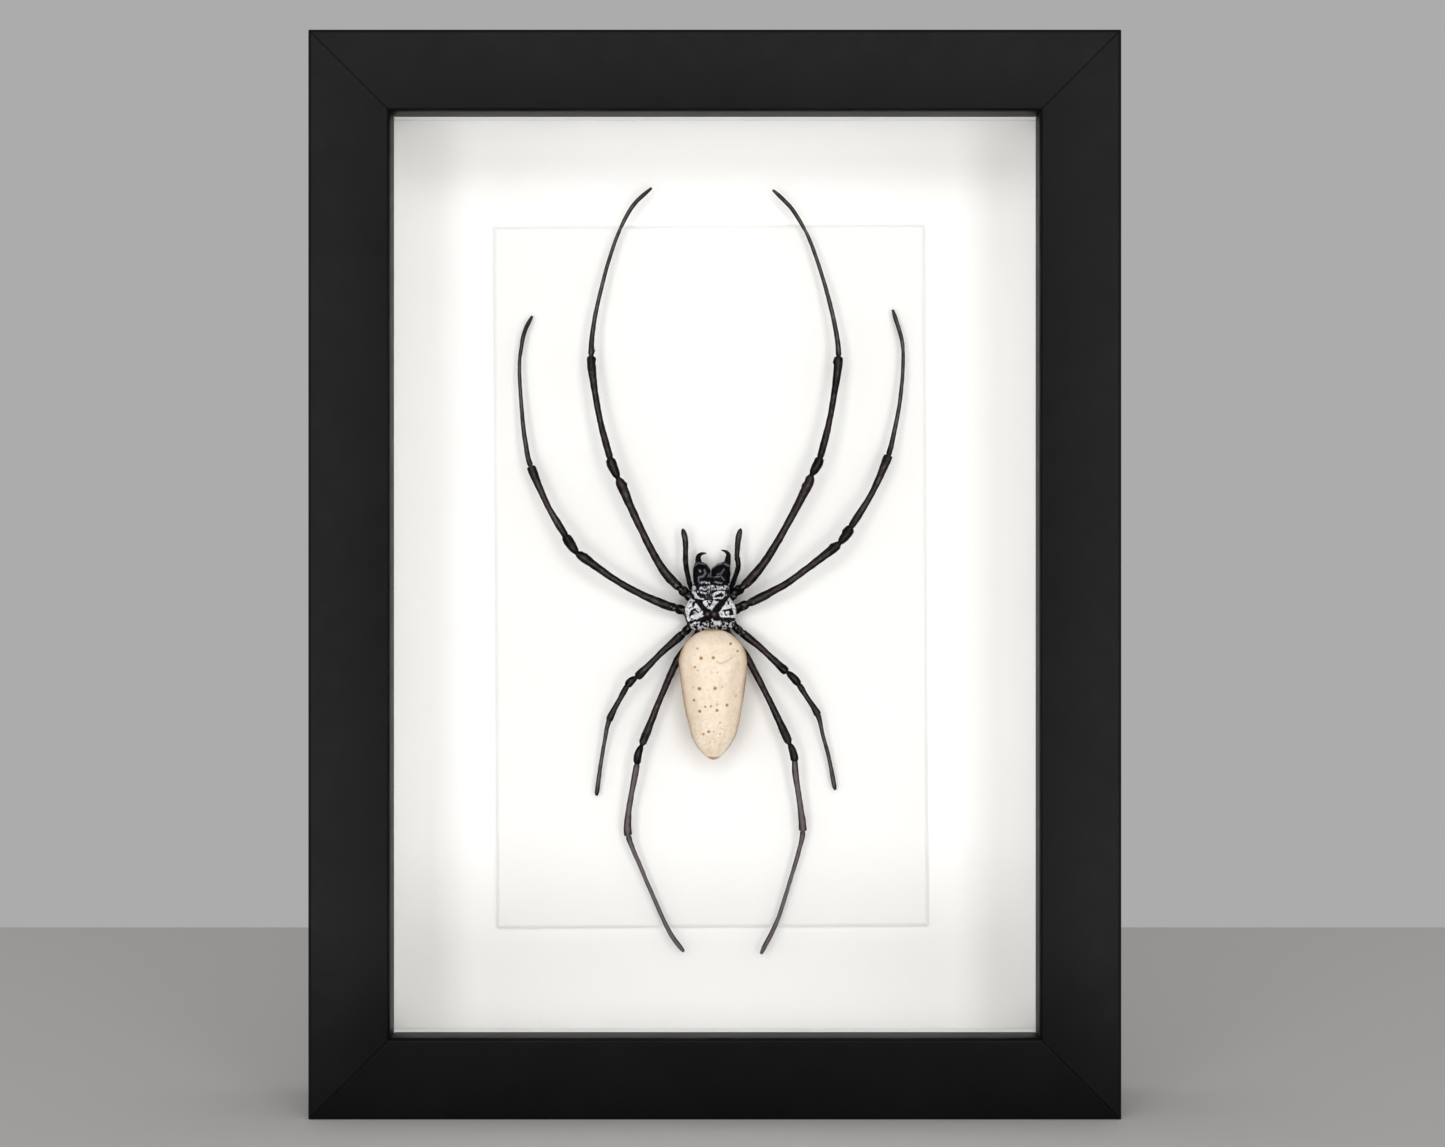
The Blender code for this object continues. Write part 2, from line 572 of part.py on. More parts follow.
def build_fill(parts, cutters):
    glass = material("clear glass", (0.95, 0.97, 0.96), 0.02, transmission=1.0)
    card = material("white card", (0.9, 0.9, 0.88), 0.9)
    hardboard = material("brown hardboard", (0.25, 0.16, 0.09), 0.8)
    steel = material("hanger steel", (0.6, 0.58, 0.5), 0.35, metallic=1.0)

    def sheet(name, front, thickness, finish):
        centre = MIDDLE + Vector((0, front + thickness / 2, 0))
        return box(name, centre, (FILL_WIDTH, thickness, FILL_HEIGHT), finish, parts)

    sheet("glass_pane", GLASS_FRONT, GLASS_THICKNESS, glass)
    sheet("backing_board", BOARD_FRONT, BOARD_THICKNESS, card)
    back = sheet("back_board", BACK_FRONT, BACK_THICKNESS, hardboard)
    spacer_middle = MIDDLE + Vector((0, SPACER_FRONT + SPACER_DEPTH / 2, 0))
    upright = FILL_HEIGHT - 2 * (SPACER_THICKNESS + GAP)
    for name, sign in (("spacer_bottom", -1), ("spacer_top", 1)):
        offset = Vector((0, 0, sign * (FILL_HEIGHT - SPACER_THICKNESS) / 2))
        box(name, spacer_middle + offset, (FILL_WIDTH, SPACER_DEPTH, SPACER_THICKNESS), card, parts)
    for name, sign in (("spacer_left", -1), ("spacer_right", 1)):
        offset = Vector((sign * (FILL_WIDTH - SPACER_THICKNESS) / 2, 0, 0))
        box(name, spacer_middle + offset, (SPACER_THICKNESS, SPACER_DEPTH, upright), card, parts)
    raised_panel(card, parts)
    strip = hanger(steel, parts)
    for side, sign in (("left", -1), ("right", 1)):
        rivet("hanger_rivet_" + side, sign * RIVET_SPREAD, steel, parts)
        hole = rivet_hole(sign * RIVET_SPREAD, steel, cutters)
        cut(strip, hole)
        cut(back, hole)


def build_spider(parts):
    carapace = material("mottled carapace", (0.25, 0.25, 0.25), 0.6)
    cream = material("cream abdomen", (0.89, 0.74, 0.58), 0.6)
    jaw = material("glossy black jaw", (0.012, 0.012, 0.015), 0.2)
    cuticle = material("dark leg cuticle", (0.018, 0.013, 0.015), 0.35)
    body_form("cephalothorax", CARAPACE_ROWS, CARAPACE_MIDDLE, BODY_SIDES, BODY_RINGS, UNDERSIDE_TAPER,
              carapace, parts)
    body_form("abdomen", ABDOMEN_ROWS, ABDOMEN_MIDDLE, BODY_SIDES, BODY_RINGS, 0.0, cream, parts)
    stalk = [(on_panel(*place), 2 * PEDICEL_RADIUS) for place in PEDICEL_PATH]
    tapered_tube("pedicel", stalk, cuticle, parts)
    for side, middle in CHELICERA_MIDDLES.items():
        body_form("chelicera_" + side, CHELICERA_ROWS, middle, JAW_SIDES, JAW_RINGS, 0.0, jaw, parts)
        stations = [(on_panel(*place), width) for place, width in zip(FANG_PATHS[side], FANG_WIDTHS)]
        tapered_tube("fang_" + side, stations, jaw, parts)
    for name, joints in LIMB_JOINTS.items():
        kind = name.rsplit("_", 1)[0]
        limb(name, LEG_WIDTHS[kind], joints, cuticle, parts)


def main():
    clear_scene()
    parts = new_collection("framed orb-weaver spider")
    cutters = new_collection("cutters")
    build_frame(parts, cutters)
    build_fill(parts, cutters)
    build_spider(parts)


main()
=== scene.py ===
"""Looks of the framed orb-weaver spider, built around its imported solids.

Metres, +Z up. The frame stands on its bottom rail at z = 0, faces -Y, and is centred on x = 0 and y = 0.
Places on the spider are in millimetres from the frame's middle: to the right, up, and out of the panel.
"""

import math
from collections import namedtuple

import bmesh
import bpy
import numpy as np
from mathutils import Matrix, Vector, bvhtree, noise


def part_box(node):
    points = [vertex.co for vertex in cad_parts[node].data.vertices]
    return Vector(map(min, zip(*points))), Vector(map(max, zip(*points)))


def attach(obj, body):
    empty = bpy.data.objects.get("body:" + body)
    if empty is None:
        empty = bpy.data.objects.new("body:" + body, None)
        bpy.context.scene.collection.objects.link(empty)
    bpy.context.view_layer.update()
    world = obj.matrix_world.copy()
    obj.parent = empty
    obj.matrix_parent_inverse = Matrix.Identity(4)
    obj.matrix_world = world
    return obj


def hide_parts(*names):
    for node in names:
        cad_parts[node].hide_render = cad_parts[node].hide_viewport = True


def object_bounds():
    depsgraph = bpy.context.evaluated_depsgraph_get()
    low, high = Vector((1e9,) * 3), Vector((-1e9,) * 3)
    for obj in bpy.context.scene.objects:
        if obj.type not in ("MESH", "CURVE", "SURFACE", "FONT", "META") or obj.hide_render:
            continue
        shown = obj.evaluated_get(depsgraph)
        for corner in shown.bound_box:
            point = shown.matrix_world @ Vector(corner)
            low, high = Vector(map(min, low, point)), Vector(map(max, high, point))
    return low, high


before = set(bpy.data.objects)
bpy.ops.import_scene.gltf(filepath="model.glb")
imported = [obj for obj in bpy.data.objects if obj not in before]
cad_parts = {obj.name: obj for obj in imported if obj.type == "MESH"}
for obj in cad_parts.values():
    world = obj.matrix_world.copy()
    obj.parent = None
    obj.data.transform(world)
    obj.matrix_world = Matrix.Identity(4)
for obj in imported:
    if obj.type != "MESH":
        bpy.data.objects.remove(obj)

MM = 0.001
CAD_LOW, CAD_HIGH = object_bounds()
FRONT, REAR = CAD_LOW.y, CAD_HIGH.y
MIDDLE = Vector((0, 0, CAD_HIGH.z / 2))
GAP = 0.3 * MM  # that the solids keep between pieces that touch
RAIL_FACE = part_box("frame_rail_bottom")[1].z
GLASS_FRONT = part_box("glass_pane")[0].y
REBATE_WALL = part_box("glass_pane")[0].z - GAP
BOARD_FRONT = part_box("backing_board")[0].y
BACK_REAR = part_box("back_board")[1].y
PANEL_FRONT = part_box("mount_panel")[0].y

# Photograph: the camera stands level with the middle of the frame
IMAGE_WIDTH = 1445
IMAGE_HEIGHT = 1147
FOCAL_PIXELS = 2717
CAMERA_DISTANCE = 0.5
MIDDLE_PIXEL = (714.8, 574.5)
SENSOR_WIDTH = 36.0

# Moulding
OUTER_ARRIS = 0.7 * MM
LIP_ARRIS = 0.9 * MM
BACK_ARRIS = 0.4 * MM
ARRIS_STEPS = 6
SEAM = 0.015 * MM
MITRE_ARRIS = 0.06 * MM
PAINT_WRAP = 1.6 * MM

# How each side of the frame is turned from the bottom one
SIDE_TURNS = {"bottom": 0.0, "left": math.pi / 2, "top": math.pi, "right": 3 * math.pi / 2}

# Card lining and board
CARD_REACH = 0.8 * GAP  # past the solids, into the gap to the next piece
CARD_ARRIS = 0.08 * MM
BOARD_ARRIS = 0.06 * MM

# Raised panel
PANEL_WIDTH = 83.4 * MM
PANEL_HEIGHT = 135.6 * MM
PANEL_BEVEL = 0.6 * MM
PANEL_SHIFT = Vector((-0.8 * MM, 0, -0.4 * MM))
PANEL_TURN = math.radians(-0.3)
PANEL_ARRIS = 0.07 * MM

# Back fittings
RETAINER_WIDTH = 6.0 * MM
RETAINER_THICKNESS = 0.6 * MM
RETAINER_REACH = 9.0 * MM
RETAINER_TAIL = 4.0 * MM
RETAINER_ROUNDING = 2.4 * MM
RETAINER_SPREAD = 45.0 * MM
HANGER_FOOT = 7.0 * MM
HANGER_RISE = 0.9 * MM
HANGER_THICKNESS = 0.7 * MM
TOOTH_HEIGHT = 1.6 * MM
TOOTH_COUNT = 11
RIVET_SHANK = 0.5  # its width to the head's
RIVET_CLEARANCE = 0.02 * MM
FITTING_ARRIS = 0.12 * MM

# Body of the spider: one row for each station, as (up, middle, half width, lowest, edge, highest)
CARAPACE_MIDDLE = -0.84
CARAPACE_ROWS = (
    (-0.5, 0.05, 0.0, 5.1, 5.1, 5.1), (-0.65, 0.05, 1.5, 4.3, 5.0, 5.75),
    (-1.2, 0.05, 2.55, 3.6, 4.8, 6.3), (-2.1, 0.05, 3.5, 2.8, 4.6, 6.75),
    (-3.0, 0.05, 3.72, 2.2, 4.4, 7.0), (-4.1, 0.05, 3.65, 1.5, 4.25, 7.2),
    (-4.6, 0.0, 3.9, 1.2, 4.2, 7.2), (-5.4, 0.0, 4.5, 0.7, 4.1, 6.8), (-6.9, 0.0, 5.05, 0.4, 4.0, 6.2),
    (-8.6, 0.0, 4.8, 0.4, 4.0, 5.8), (-10.0, 0.1, 4.3, 0.9, 4.0, 5.2), (-10.6, 0.1, 3.45, 1.8, 3.9, 4.75),
    (-11.05, 0.1, 2.1, 2.6, 3.8, 4.3), (-11.2, 0.1, 0.0, 3.6, 3.6, 3.6),
)
ABDOMEN_MIDDLE = -0.45
ABDOMEN_ROWS = (
    (-10.3, 0.12, 0.0, 7.3, 7.3, 7.3), (-10.65, 0.12, 1.9, 6.0, 7.3, 8.7),
    (-11.1, 0.12, 2.95, 5.0, 7.3, 9.6), (-11.6, 0.12, 3.85, 4.2, 7.3, 10.4),
    (-12.9, 0.15, 5.25, 2.9, 7.3, 11.6), (-14.2, 0.12, 5.93, 2.3, 7.2, 12.1),
    (-16.0, 0.08, 6.4, 1.8, 7.2, 12.6), (-18.0, 0.12, 6.5, 1.7, 7.1, 12.8),
    (-21.0, 0.15, 6.15, 1.7, 7.0, 12.5), (-25.1, 0.2, 5.5, 1.8, 6.8, 11.9),
    (-27.8, 0.28, 5.0, 2.1, 6.6, 11.2), (-29.7, 0.26, 4.52, 2.3, 6.5, 10.6),
    (-31.2, 0.2, 4.0, 2.5, 6.4, 10.1), (-32.9, 0.17, 3.08, 3.0, 6.3, 9.3),
    (-34.2, 0.17, 2.0, 3.9, 6.2, 8.3), (-35.0, 0.17, 1.05, 4.9, 6.2, 7.3),
    (-35.4, 0.17, 0.0, 6.2, 6.2, 6.2),
)
CHELICERA_ROWS = {
    "left": (
        (-1.9, -2.45, 0.0, 4.2, 4.2, 4.2), (-1.75, -2.45, 1.45, 3.2, 4.2, 5.2),
        (-1.0, -2.47, 1.66, 2.6, 4.2, 5.8), (0.2, -2.5, 1.71, 2.2, 3.95, 5.55),
        (0.9, -2.51, 1.69, 2.0, 3.75, 5.2), (1.3, -2.57, 1.55, 2.0, 3.6, 4.95),
        (1.7, -2.65, 1.35, 2.0, 3.45, 4.7), (2.0, -2.75, 1.17, 2.0, 3.35, 4.45),
        (2.25, -2.89, 0.91, 2.1, 3.2, 4.15), (2.42, -3.02, 0.58, 2.4, 3.15, 3.75),
        (2.5, -3.05, 0.0, 3.1, 3.1, 3.1),
    ),
    "right": (
        (-1.9, 1.15, 0.0, 4.2, 4.2, 4.2), (-1.75, 1.15, 1.5, 3.2, 4.2, 5.2),
        (-1.0, 1.15, 1.76, 2.6, 4.2, 5.8), (0.2, 1.15, 1.86, 2.2, 3.95, 5.55),
        (0.85, 1.16, 1.84, 2.0, 3.75, 5.25), (1.3, 1.29, 1.69, 2.0, 3.6, 4.95),
        (1.7, 1.48, 1.48, 2.0, 3.45, 4.7), (2.02, 1.67, 1.23, 2.0, 3.35, 4.45),
        (2.25, 1.98, 0.88, 2.1, 3.2, 4.15), (2.42, 2.17, 0.57, 2.4, 3.15, 3.75),
        (2.5, 2.2, 0.0, 3.1, 3.1, 3.1),
    ),
}
CARAPACE_TAPER = 0.35
PEDICEL_POINTS = ((-0.7, -9.9, 4.2), (-0.65, -11.2, 3.6), (-0.55, -12.0, 3.2), (-0.5, -13.2, 3.9))
PEDICEL_WIDTH = 1.15
FANG_POINTS = {
    "left": ((-3.1, 1.7, 3.5), (-3.14, 2.5, 3.3), (-3.19, 3.2, 3.05), (-2.95, 3.72, 2.75), (-2.4, 4.03, 2.4),
             (-1.55, 4.08, 2.1)),
    "right": ((2.35, 1.7, 3.5), (2.45, 2.5, 3.3), (2.54, 3.2, 3.05), (2.6, 3.78, 2.8), (2.25, 4.32, 2.5),
              (1.7, 4.58, 2.2), (1.18, 4.7, 2.1)),
}
FANG_WIDTHS = ((0.0, 1.3), (0.22, 1.25), (0.42, 1.05), (0.57, 0.87), (0.75, 0.62), (0.9, 0.38), (1.0, 0.1))

# Eyes, as (to the side of the carapace's middle, up, radius); each has a mirrored one
EYES = ((0.4, -0.72, 0.19), (0.48, -1.35, 0.18), (1.75, -1.0, 0.16), (1.95, -1.4, 0.16))

# Width along each segment, as (fraction of its length, fraction of its full width)
SEGMENT_SHAPES = {
    "coxa": ((0.0, 0.8), (0.15, 1.02), (0.48, 1.06), (0.6, 0.8), (0.68, 0.9), (0.85, 0.97), (1.0, 0.74)),
    "femur": ((0.0, 0.72), (0.03, 0.93), (0.11, 1.0), (0.3, 0.82), (0.55, 0.73), (0.78, 0.84),
              (0.92, 1.03), (0.97, 0.97), (1.0, 0.54)),
    "patella": ((0.0, 0.5), (0.05, 0.56), (0.14, 0.78), (0.35, 0.94), (0.7, 1.06), (0.9, 0.98), (1.0, 0.66)),
    "tibia": ((0.0, 0.64), (0.03, 0.8), (0.14, 0.85), (0.4, 0.68), (0.65, 0.74), (0.9, 1.0),
              (0.985, 1.02), (1.0, 0.6)),
    "metatarsus": ((0.0, 0.8), (0.012, 1.12), (0.05, 1.02), (0.12, 0.92), (0.25, 0.83), (0.45, 0.73),
                   (0.62, 0.7), (0.7, 0.68), (0.715, 0.56), (0.73, 0.72), (0.84, 0.8), (0.95, 0.8),
                   (1.0, 0.5)),
}
HIND_METATARSUS = ((0.0, 0.85), (0.015, 1.15), (0.06, 1.0), (0.15, 0.88), (0.35, 0.8), (0.6, 0.82),
                   (0.68, 0.82), (0.685, 0.7), (0.7, 0.84), (0.82, 0.92), (0.95, 0.95), (1.0, 0.6))
PALP_SHAPE = ((0.0, 0.84), (0.06, 0.98), (0.2, 0.92), (0.6, 0.95), (0.93, 1.04), (1.0, 0.84))
PALP_TARSUS = ((0.0, 0.84), (0.05, 0.98), (0.2, 0.92), (0.5, 1.0), (0.78, 0.86), (0.93, 0.55), (1.0, 0.25))
LEG_WIDTHS = {
    "leg_1": (2.0, 1.85, 1.85, 1.65, 1.0),
    "leg_2": (2.0, 1.75, 1.85, 1.7, 1.0),
    "leg_3": (1.7, 1.65, 1.5, 1.4, 0.92),
    "leg_4": (1.4, 1.6, 1.5, 1.5, 0.95),
    "pedipalp": (1.0, 1.02, 1.06, 1.02, 1.15),
}
# Spurs and bumps on the legs, as (right, up, height)
KNOBS = {
    "leg_1_left": ((-22.5, 41.25, 0.3), (-23.2, 42.9, 0.22), (-17.0, 17.3, 0.2)),
    "leg_1_right": ((22.6, 40.7, 0.3), (16.7, 17.1, 0.2), (19.2, 19.8, 0.16)),
    "leg_2_left": ((-24.4, 4.1, 0.18), (-28.9, 7.0, 0.16)),
    "leg_2_right": ((22.3, 5.6, 0.2), (24.6, 8.3, 0.18), (26.3, 8.2, 0.14)),
}
KNOB_RADIUS = 0.36
LEG_DEPTH = 1.04  # to its width
HIP_REACH = 2.0  # how far the legs go on into the body
PALP_HIP_REACH = 1.0
HAIR_START, HAIR_FULL = 2.5, 4.5  # along the leg
# Where the painted glints lie: pale painted highlights on the black near the body
GLINTS_END, GLINTS_FULL = 7.0, 4.5  # pale glints beside the body, along the leg
JOINT_DARKENING = 0.7  # how far the dark goes on from a joint
JOINT_GLOSS = 1.2
# Lines along the legs: furrows as (angle round the leg, width), also painted darker as shade, and painted
# highlight lines as (angle, width, strength), paler along the top and upper sides of the leg
FURROWS = ((1.05, 0.3), (2.15, 0.28))
PAINTED_HIGHLIGHT_LINES = ((1.6, 0.2, 1.0), (0.62, 0.16, 0.7), (2.6, 0.16, 0.7))
# How pale each segment is, from black-brown to warm grey
LEG_TONES = {
    "leg_1": (0.12, 0.36, 0.18, 0.3, 0.56),
    "leg_2": (0.12, 0.34, 0.18, 0.42, 0.52),
    "leg_3": (0.1, 0.32, 0.24, 0.36, 0.62),
    "leg_4": (0.1, 0.34, 0.14, 0.9, 1.0),
    "pedipalp": (-0.15, -0.12, 0.24, 0.36, 0.48),
}
# Legs and pedipalps: for each segment, its near joint and the points that it bends through
LIMB_JOINTS = {
    "leg_1_left": (
        ((-5.0, -4.0, 2.8),),
        ((-6.6, -2.7, 3.3), (-9.7, 0.6, 4.0), (-12.3, 5.0, 4.7), (-16.0, 12.7, 5.6), (-17.4, 16.1, 5.9)),
        ((-18.5, 18.4, 6.0), (-19.4, 20.4, 6.2)),
        ((-20.0, 22.2, 6.2), (-21.8, 28.9, 5.6), (-23.0, 35.3, 5.1)),
        ((-23.7, 41.9, 4.5), (-23.1, 48.8, 3.9), (-21.4, 56.5, 3.2), (-20.1, 61.2, 2.8),
         (-18.2, 66.5, 2.3), (-15.6, 71.2, 1.9), (-12.2, 74.5, 1.4)),
    ),
    "leg_1_right": (
        ((3.5, -3.8, 2.8),),
        ((5.3, -2.4, 3.3), (7.4, -0.3, 4.0), (9.9, 2.9, 4.6), (13.4, 8.7, 5.3), (17.3, 16.1, 5.9)),
        ((18.5, 19.0, 6.0), (19.5, 20.8, 6.2)),
        ((20.1, 22.3, 6.1), (21.7, 28.4, 5.7), (22.8, 34.3, 5.2)),
        ((23.7, 41.8, 4.5), (22.9, 48.4, 3.9), (20.9, 56.4, 3.2), (18.2, 64.4, 2.5),
         (15.4, 69.6, 2.0), (13.3, 72.1, 1.7), (11.2, 74.1, 1.4)),
    ),
    "leg_2_left": (
        ((-5.65, -7.0, 2.6),),
        ((-7.4, -6.5, 3.2), (-10.3, -5.5, 3.8), (-15.1, -3.3, 4.6), (-19.7, -0.6, 5.2), (-25.0, 3.2, 5.7)),
        ((-26.3, 4.1, 5.8), (-27.7, 6.0, 5.9)),
        ((-28.5, 7.4, 5.8), (-30.1, 9.9, 5.4), (-32.3, 13.8, 4.9)),
        ((-35.3, 20.8, 4.2), (-36.3, 25.1, 3.7), (-37.0, 30.6, 3.1), (-37.6, 39.5, 2.4),
         (-37.2, 44.0, 2.0), (-36.6, 46.9, 1.7), (-35.2, 49.8, 1.3)),
    ),
    "leg_2_right": (
        ((4.2, -6.6, 2.6),),
        ((6.3, -5.6, 3.2), (7.7, -5.0, 3.6), (11.3, -3.1, 4.2), (14.8, -1.0, 4.7), (21.8, 4.3, 5.6)),
        ((23.8, 6.0, 5.8), (25.2, 7.7, 5.9)),
        ((26.0, 9.1, 5.8), (28.5, 12.9, 5.3), (30.6, 16.6, 4.8)),
        ((33.3, 22.9, 4.2), (34.7, 28.7, 3.6), (35.6, 33.5, 3.1), (36.2, 40.3, 2.5),
         (36.0, 45.1, 2.0), (34.3, 51.0, 1.3)),
    ),
    "leg_3_left": (
        ((-4.6, -9.8, 2.5),),
        ((-6.0, -11.3, 3.0), (-9.7, -14.5, 3.9), (-14.0, -18.8, 4.7)),
        ((-15.1, -19.7, 4.8), (-16.1, -20.5, 4.8)),
        ((-16.8, -21.4, 4.7), (-18.1, -23.7, 4.2)),
        ((-20.3, -28.0, 3.2), (-21.2, -32.1, 2.5), (-22.0, -36.8, 1.9), (-22.8, -42.6, 1.2)),
    ),
    "leg_3_right": (
        ((3.4, -9.6, 2.5),),
        ((5.1, -11.1, 3.0), (8.6, -13.9, 3.9), (12.9, -17.9, 4.7)),
        ((13.9, -18.7, 4.8), (15.2, -19.9, 4.8)),
        ((16.1, -21.1, 4.7), (17.5, -23.3, 4.2)),
        ((19.8, -27.0, 3.2), (20.8, -31.0, 2.6), (21.9, -35.0, 2.0), (23.2, -41.5, 1.2)),
    ),
    "leg_4_left": (
        ((-3.2, -11.2, 1.7),),
        ((-4.5, -13.0, 2.0), (-6.0, -14.9, 2.3), (-7.6, -17.3, 2.6), (-10.5, -23.9, 3.7),
         (-12.1, -27.9, 4.2)),
        ((-14.0, -32.7, 4.6), (-14.7, -34.5, 4.7)),
        ((-14.9, -36.3, 4.6), (-15.4, -39.0, 4.3), (-16.5, -45.3, 3.7)),
        ((-16.6, -50.2, 3.2), (-14.4, -55.9, 2.7), (-12.4, -60.7, 2.3), (-8.8, -68.7, 1.7),
         (-6.0, -72.7, 1.3)),
    ),
    "leg_4_right": (
        ((2.4, -11.1, 1.7),),
        ((3.8, -12.9, 2.0), (5.1, -14.5, 2.3), (6.5, -16.5, 2.6), (10.2, -23.6, 3.7), (12.3, -28.0, 4.2)),
        ((14.3, -32.4, 4.6), (15.0, -34.1, 4.7)),
        ((15.3, -35.8, 4.6), (15.5, -38.5, 4.3), (16.4, -44.5, 3.7)),
        ((16.9, -49.3, 3.2), (16.2, -53.0, 2.8), (14.8, -57.9, 2.4), (12.0, -66.7, 1.8),
         (8.9, -73.1, 1.3)),
    ),
    "pedipalp_left": (
        ((-4.75, -1.95, 3.3),),
        ((-4.95, -1.3, 3.6),),
        ((-5.5, 1.5, 4.2),),
        ((-5.6, 3.3, 4.2),),
        ((-5.6, 5.2, 4.0), (-5.7, 6.8, 3.7), (-6.2, 8.8, 3.2)),
    ),
    "pedipalp_right": (
        ((3.35, -2.0, 3.3),),
        ((3.6, -1.3, 3.6),),
        ((4.5, 1.5, 4.2),),
        ((4.3, 3.3, 4.2),),
        ((4.35, 5.2, 4.0), (4.5, 6.8, 3.7), (4.98, 8.85, 3.2)),
    ),
}

# Silver hair on the carapace: outlines and strokes as (to the side of its middle, up), with how much hair
# each has; later ones lie over earlier ones
Area = namedtuple("Area", "cover corners")
Stroke = namedtuple("Stroke", "cover start end radius")
CARAPACE_MARKS = (
    Area(0.62, ((-2.22, -2.39), (-0.18, -2.07), (3.69, -2.19), (3.65, -2.87), (0.55, -3.02), (-2.22, -3.02))),
    Area(0.06, ((-2.66, -3.02), (0.7, -2.98), (3.48, -2.98), (3.04, -4.41), (-0.18, -4.77), (-2.37, -4.26))),
    Stroke(0.3, (-1.35, -2.51), (-0.76, -2.39), 0.2),
    Stroke(0.25, (0.55, -2.58), (0.99, -2.39), 0.17),
    Stroke(0.72, (-3.17, -2.58), (-3.25, -3.27), 0.47),
    Stroke(0.9, (-2.95, -3.68), (-2.66, -4.34), 0.27),
    Stroke(0.85, (-2.52, -4.34), (-1.35, -4.58), 0.24),
    Stroke(0.72, (-2.44, -3.31), (-0.91, -3.53), 0.18),
    Stroke(0.6, (-2.08, -1.46), (-0.25, -1.6), 0.22),
    Stroke(0.42, (0.84, -1.51), (2.09, -1.66), 0.2),
    Stroke(0.3, (-0.32, -3.31), (-0.32, -4.26), 0.61),
    Stroke(1.0, (0.63, -3.9), (1.36, -3.39), 0.29),
    Stroke(1.0, (1.36, -3.39), (2.6, -3.46), 0.29),
    Stroke(0.8, (2.82, -3.68), (2.89, -4.34), 0.32),
    Stroke(0.9, (0.7, -4.55), (2.45, -4.44), 0.2),
    Stroke(0.0, (-2.0, -3.9), (-1.2, -4.26), 0.31),
    Stroke(0.0, (1.14, -4.23), (2.09, -3.75), 0.28),
    Area(0.95, ((-4.71, -5.43), (-3.76, -4.48), (-3.1, -4.85), (-1.57, -6.97), (-1.17, -7.92),
         (-1.79, -8.28), (-3.1, -8.65), (-4.2, -9.01), (-4.49, -8.5), (-4.88, -6.45))),
    Area(0.92, ((3.69, -4.31), (4.43, -4.63), (4.86, -5.21), (5.01, -6.45), (4.91, -8.28),
         (1.94, -8.43), (1.6, -7.26), (3.04, -5.21))),
    Area(0.82, ((-4.2, -9.3), (-2.52, -9.01), (0.7, -8.91), (3.33, -8.94), (4.86, -9.08), (4.5, -10.11),
         (3.33, -10.69), (-3.39, -10.69))),
    Area(0.0, ((-1.42, -6.89), (0.7, -6.31), (1.55, -6.45), (1.75, -7.92), (1.43, -8.5), (0.55, -8.82),
         (-0.18, -9.35), (-0.76, -8.72), (-1.08, -7.92))),
    Area(1.0, ((-1.42, -4.77), (-0.18, -4.92), (1.65, -4.85), (1.43, -5.94), (0.7, -6.6), (0.04, -7.07),
         (-0.47, -6.53), (-1.38, -6.02))),
    Stroke(0.0, (-2.66, -4.99), (-1.42, -6.16), 0.41),
    Stroke(0.0, (-1.42, -6.16), (-0.76, -7.18), 0.37),
    Stroke(0.0, (3.18, -4.41), (1.79, -5.58), 0.39),
    Stroke(0.0, (1.79, -5.58), (0.7, -6.89), 0.41),
    Stroke(0.0, (-0.5, -5.17), (-0.1, -5.9), 0.17),
    Stroke(0.0, (0.29, -5.14), (-0.03, -5.84), 0.16),
    Stroke(0.0, (-3.22, -5.4), (-3.19, -5.8), 0.26),
    Stroke(0.0, (-3.9, -7.73), (-3.54, -6.99), 0.23),
    Stroke(0.0, (-3.54, -6.99), (-2.95, -6.67), 0.26),
    Stroke(0.1, (-2.95, -6.67), (-2.34, -7.26), 0.17),
    Stroke(0.15, (-3.71, -7.7), (-3.1, -7.36), 0.17),
    Stroke(0.05, (3.4, -5.17), (3.45, -5.58), 0.23),
    Stroke(0.1, (2.63, -6.89), (3.91, -6.6), 0.21),
    Stroke(0.0, (3.91, -6.6), (4.13, -7.51), 0.25),
    Stroke(0.3, (2.77, -7.16), (2.89, -7.62), 0.17),
    Stroke(0.05, (3.62, -7.56), (4.13, -7.56), 0.21),
    Stroke(0.0, (-1.13, -8.65), (-2.95, -8.82), 0.25),
    Stroke(0.05, (-2.95, -8.82), (-4.09, -9.33), 0.21),
    Stroke(0.0, (1.65, -8.47), (2.74, -8.43), 0.22),
    Stroke(0.0, (2.74, -8.43), (4.35, -8.5), 0.23),
    Stroke(0.1, (3.45, -8.82), (3.55, -8.97), 0.44),
    Stroke(0.0, (-0.1, -8.79), (-0.15, -10.11), 0.25),
    Stroke(0.9, (0.33, -8.62), (0.29, -9.2), 0.15),
    Stroke(0.1, (-1.57, -9.55), (-1.52, -9.67), 0.21),
)
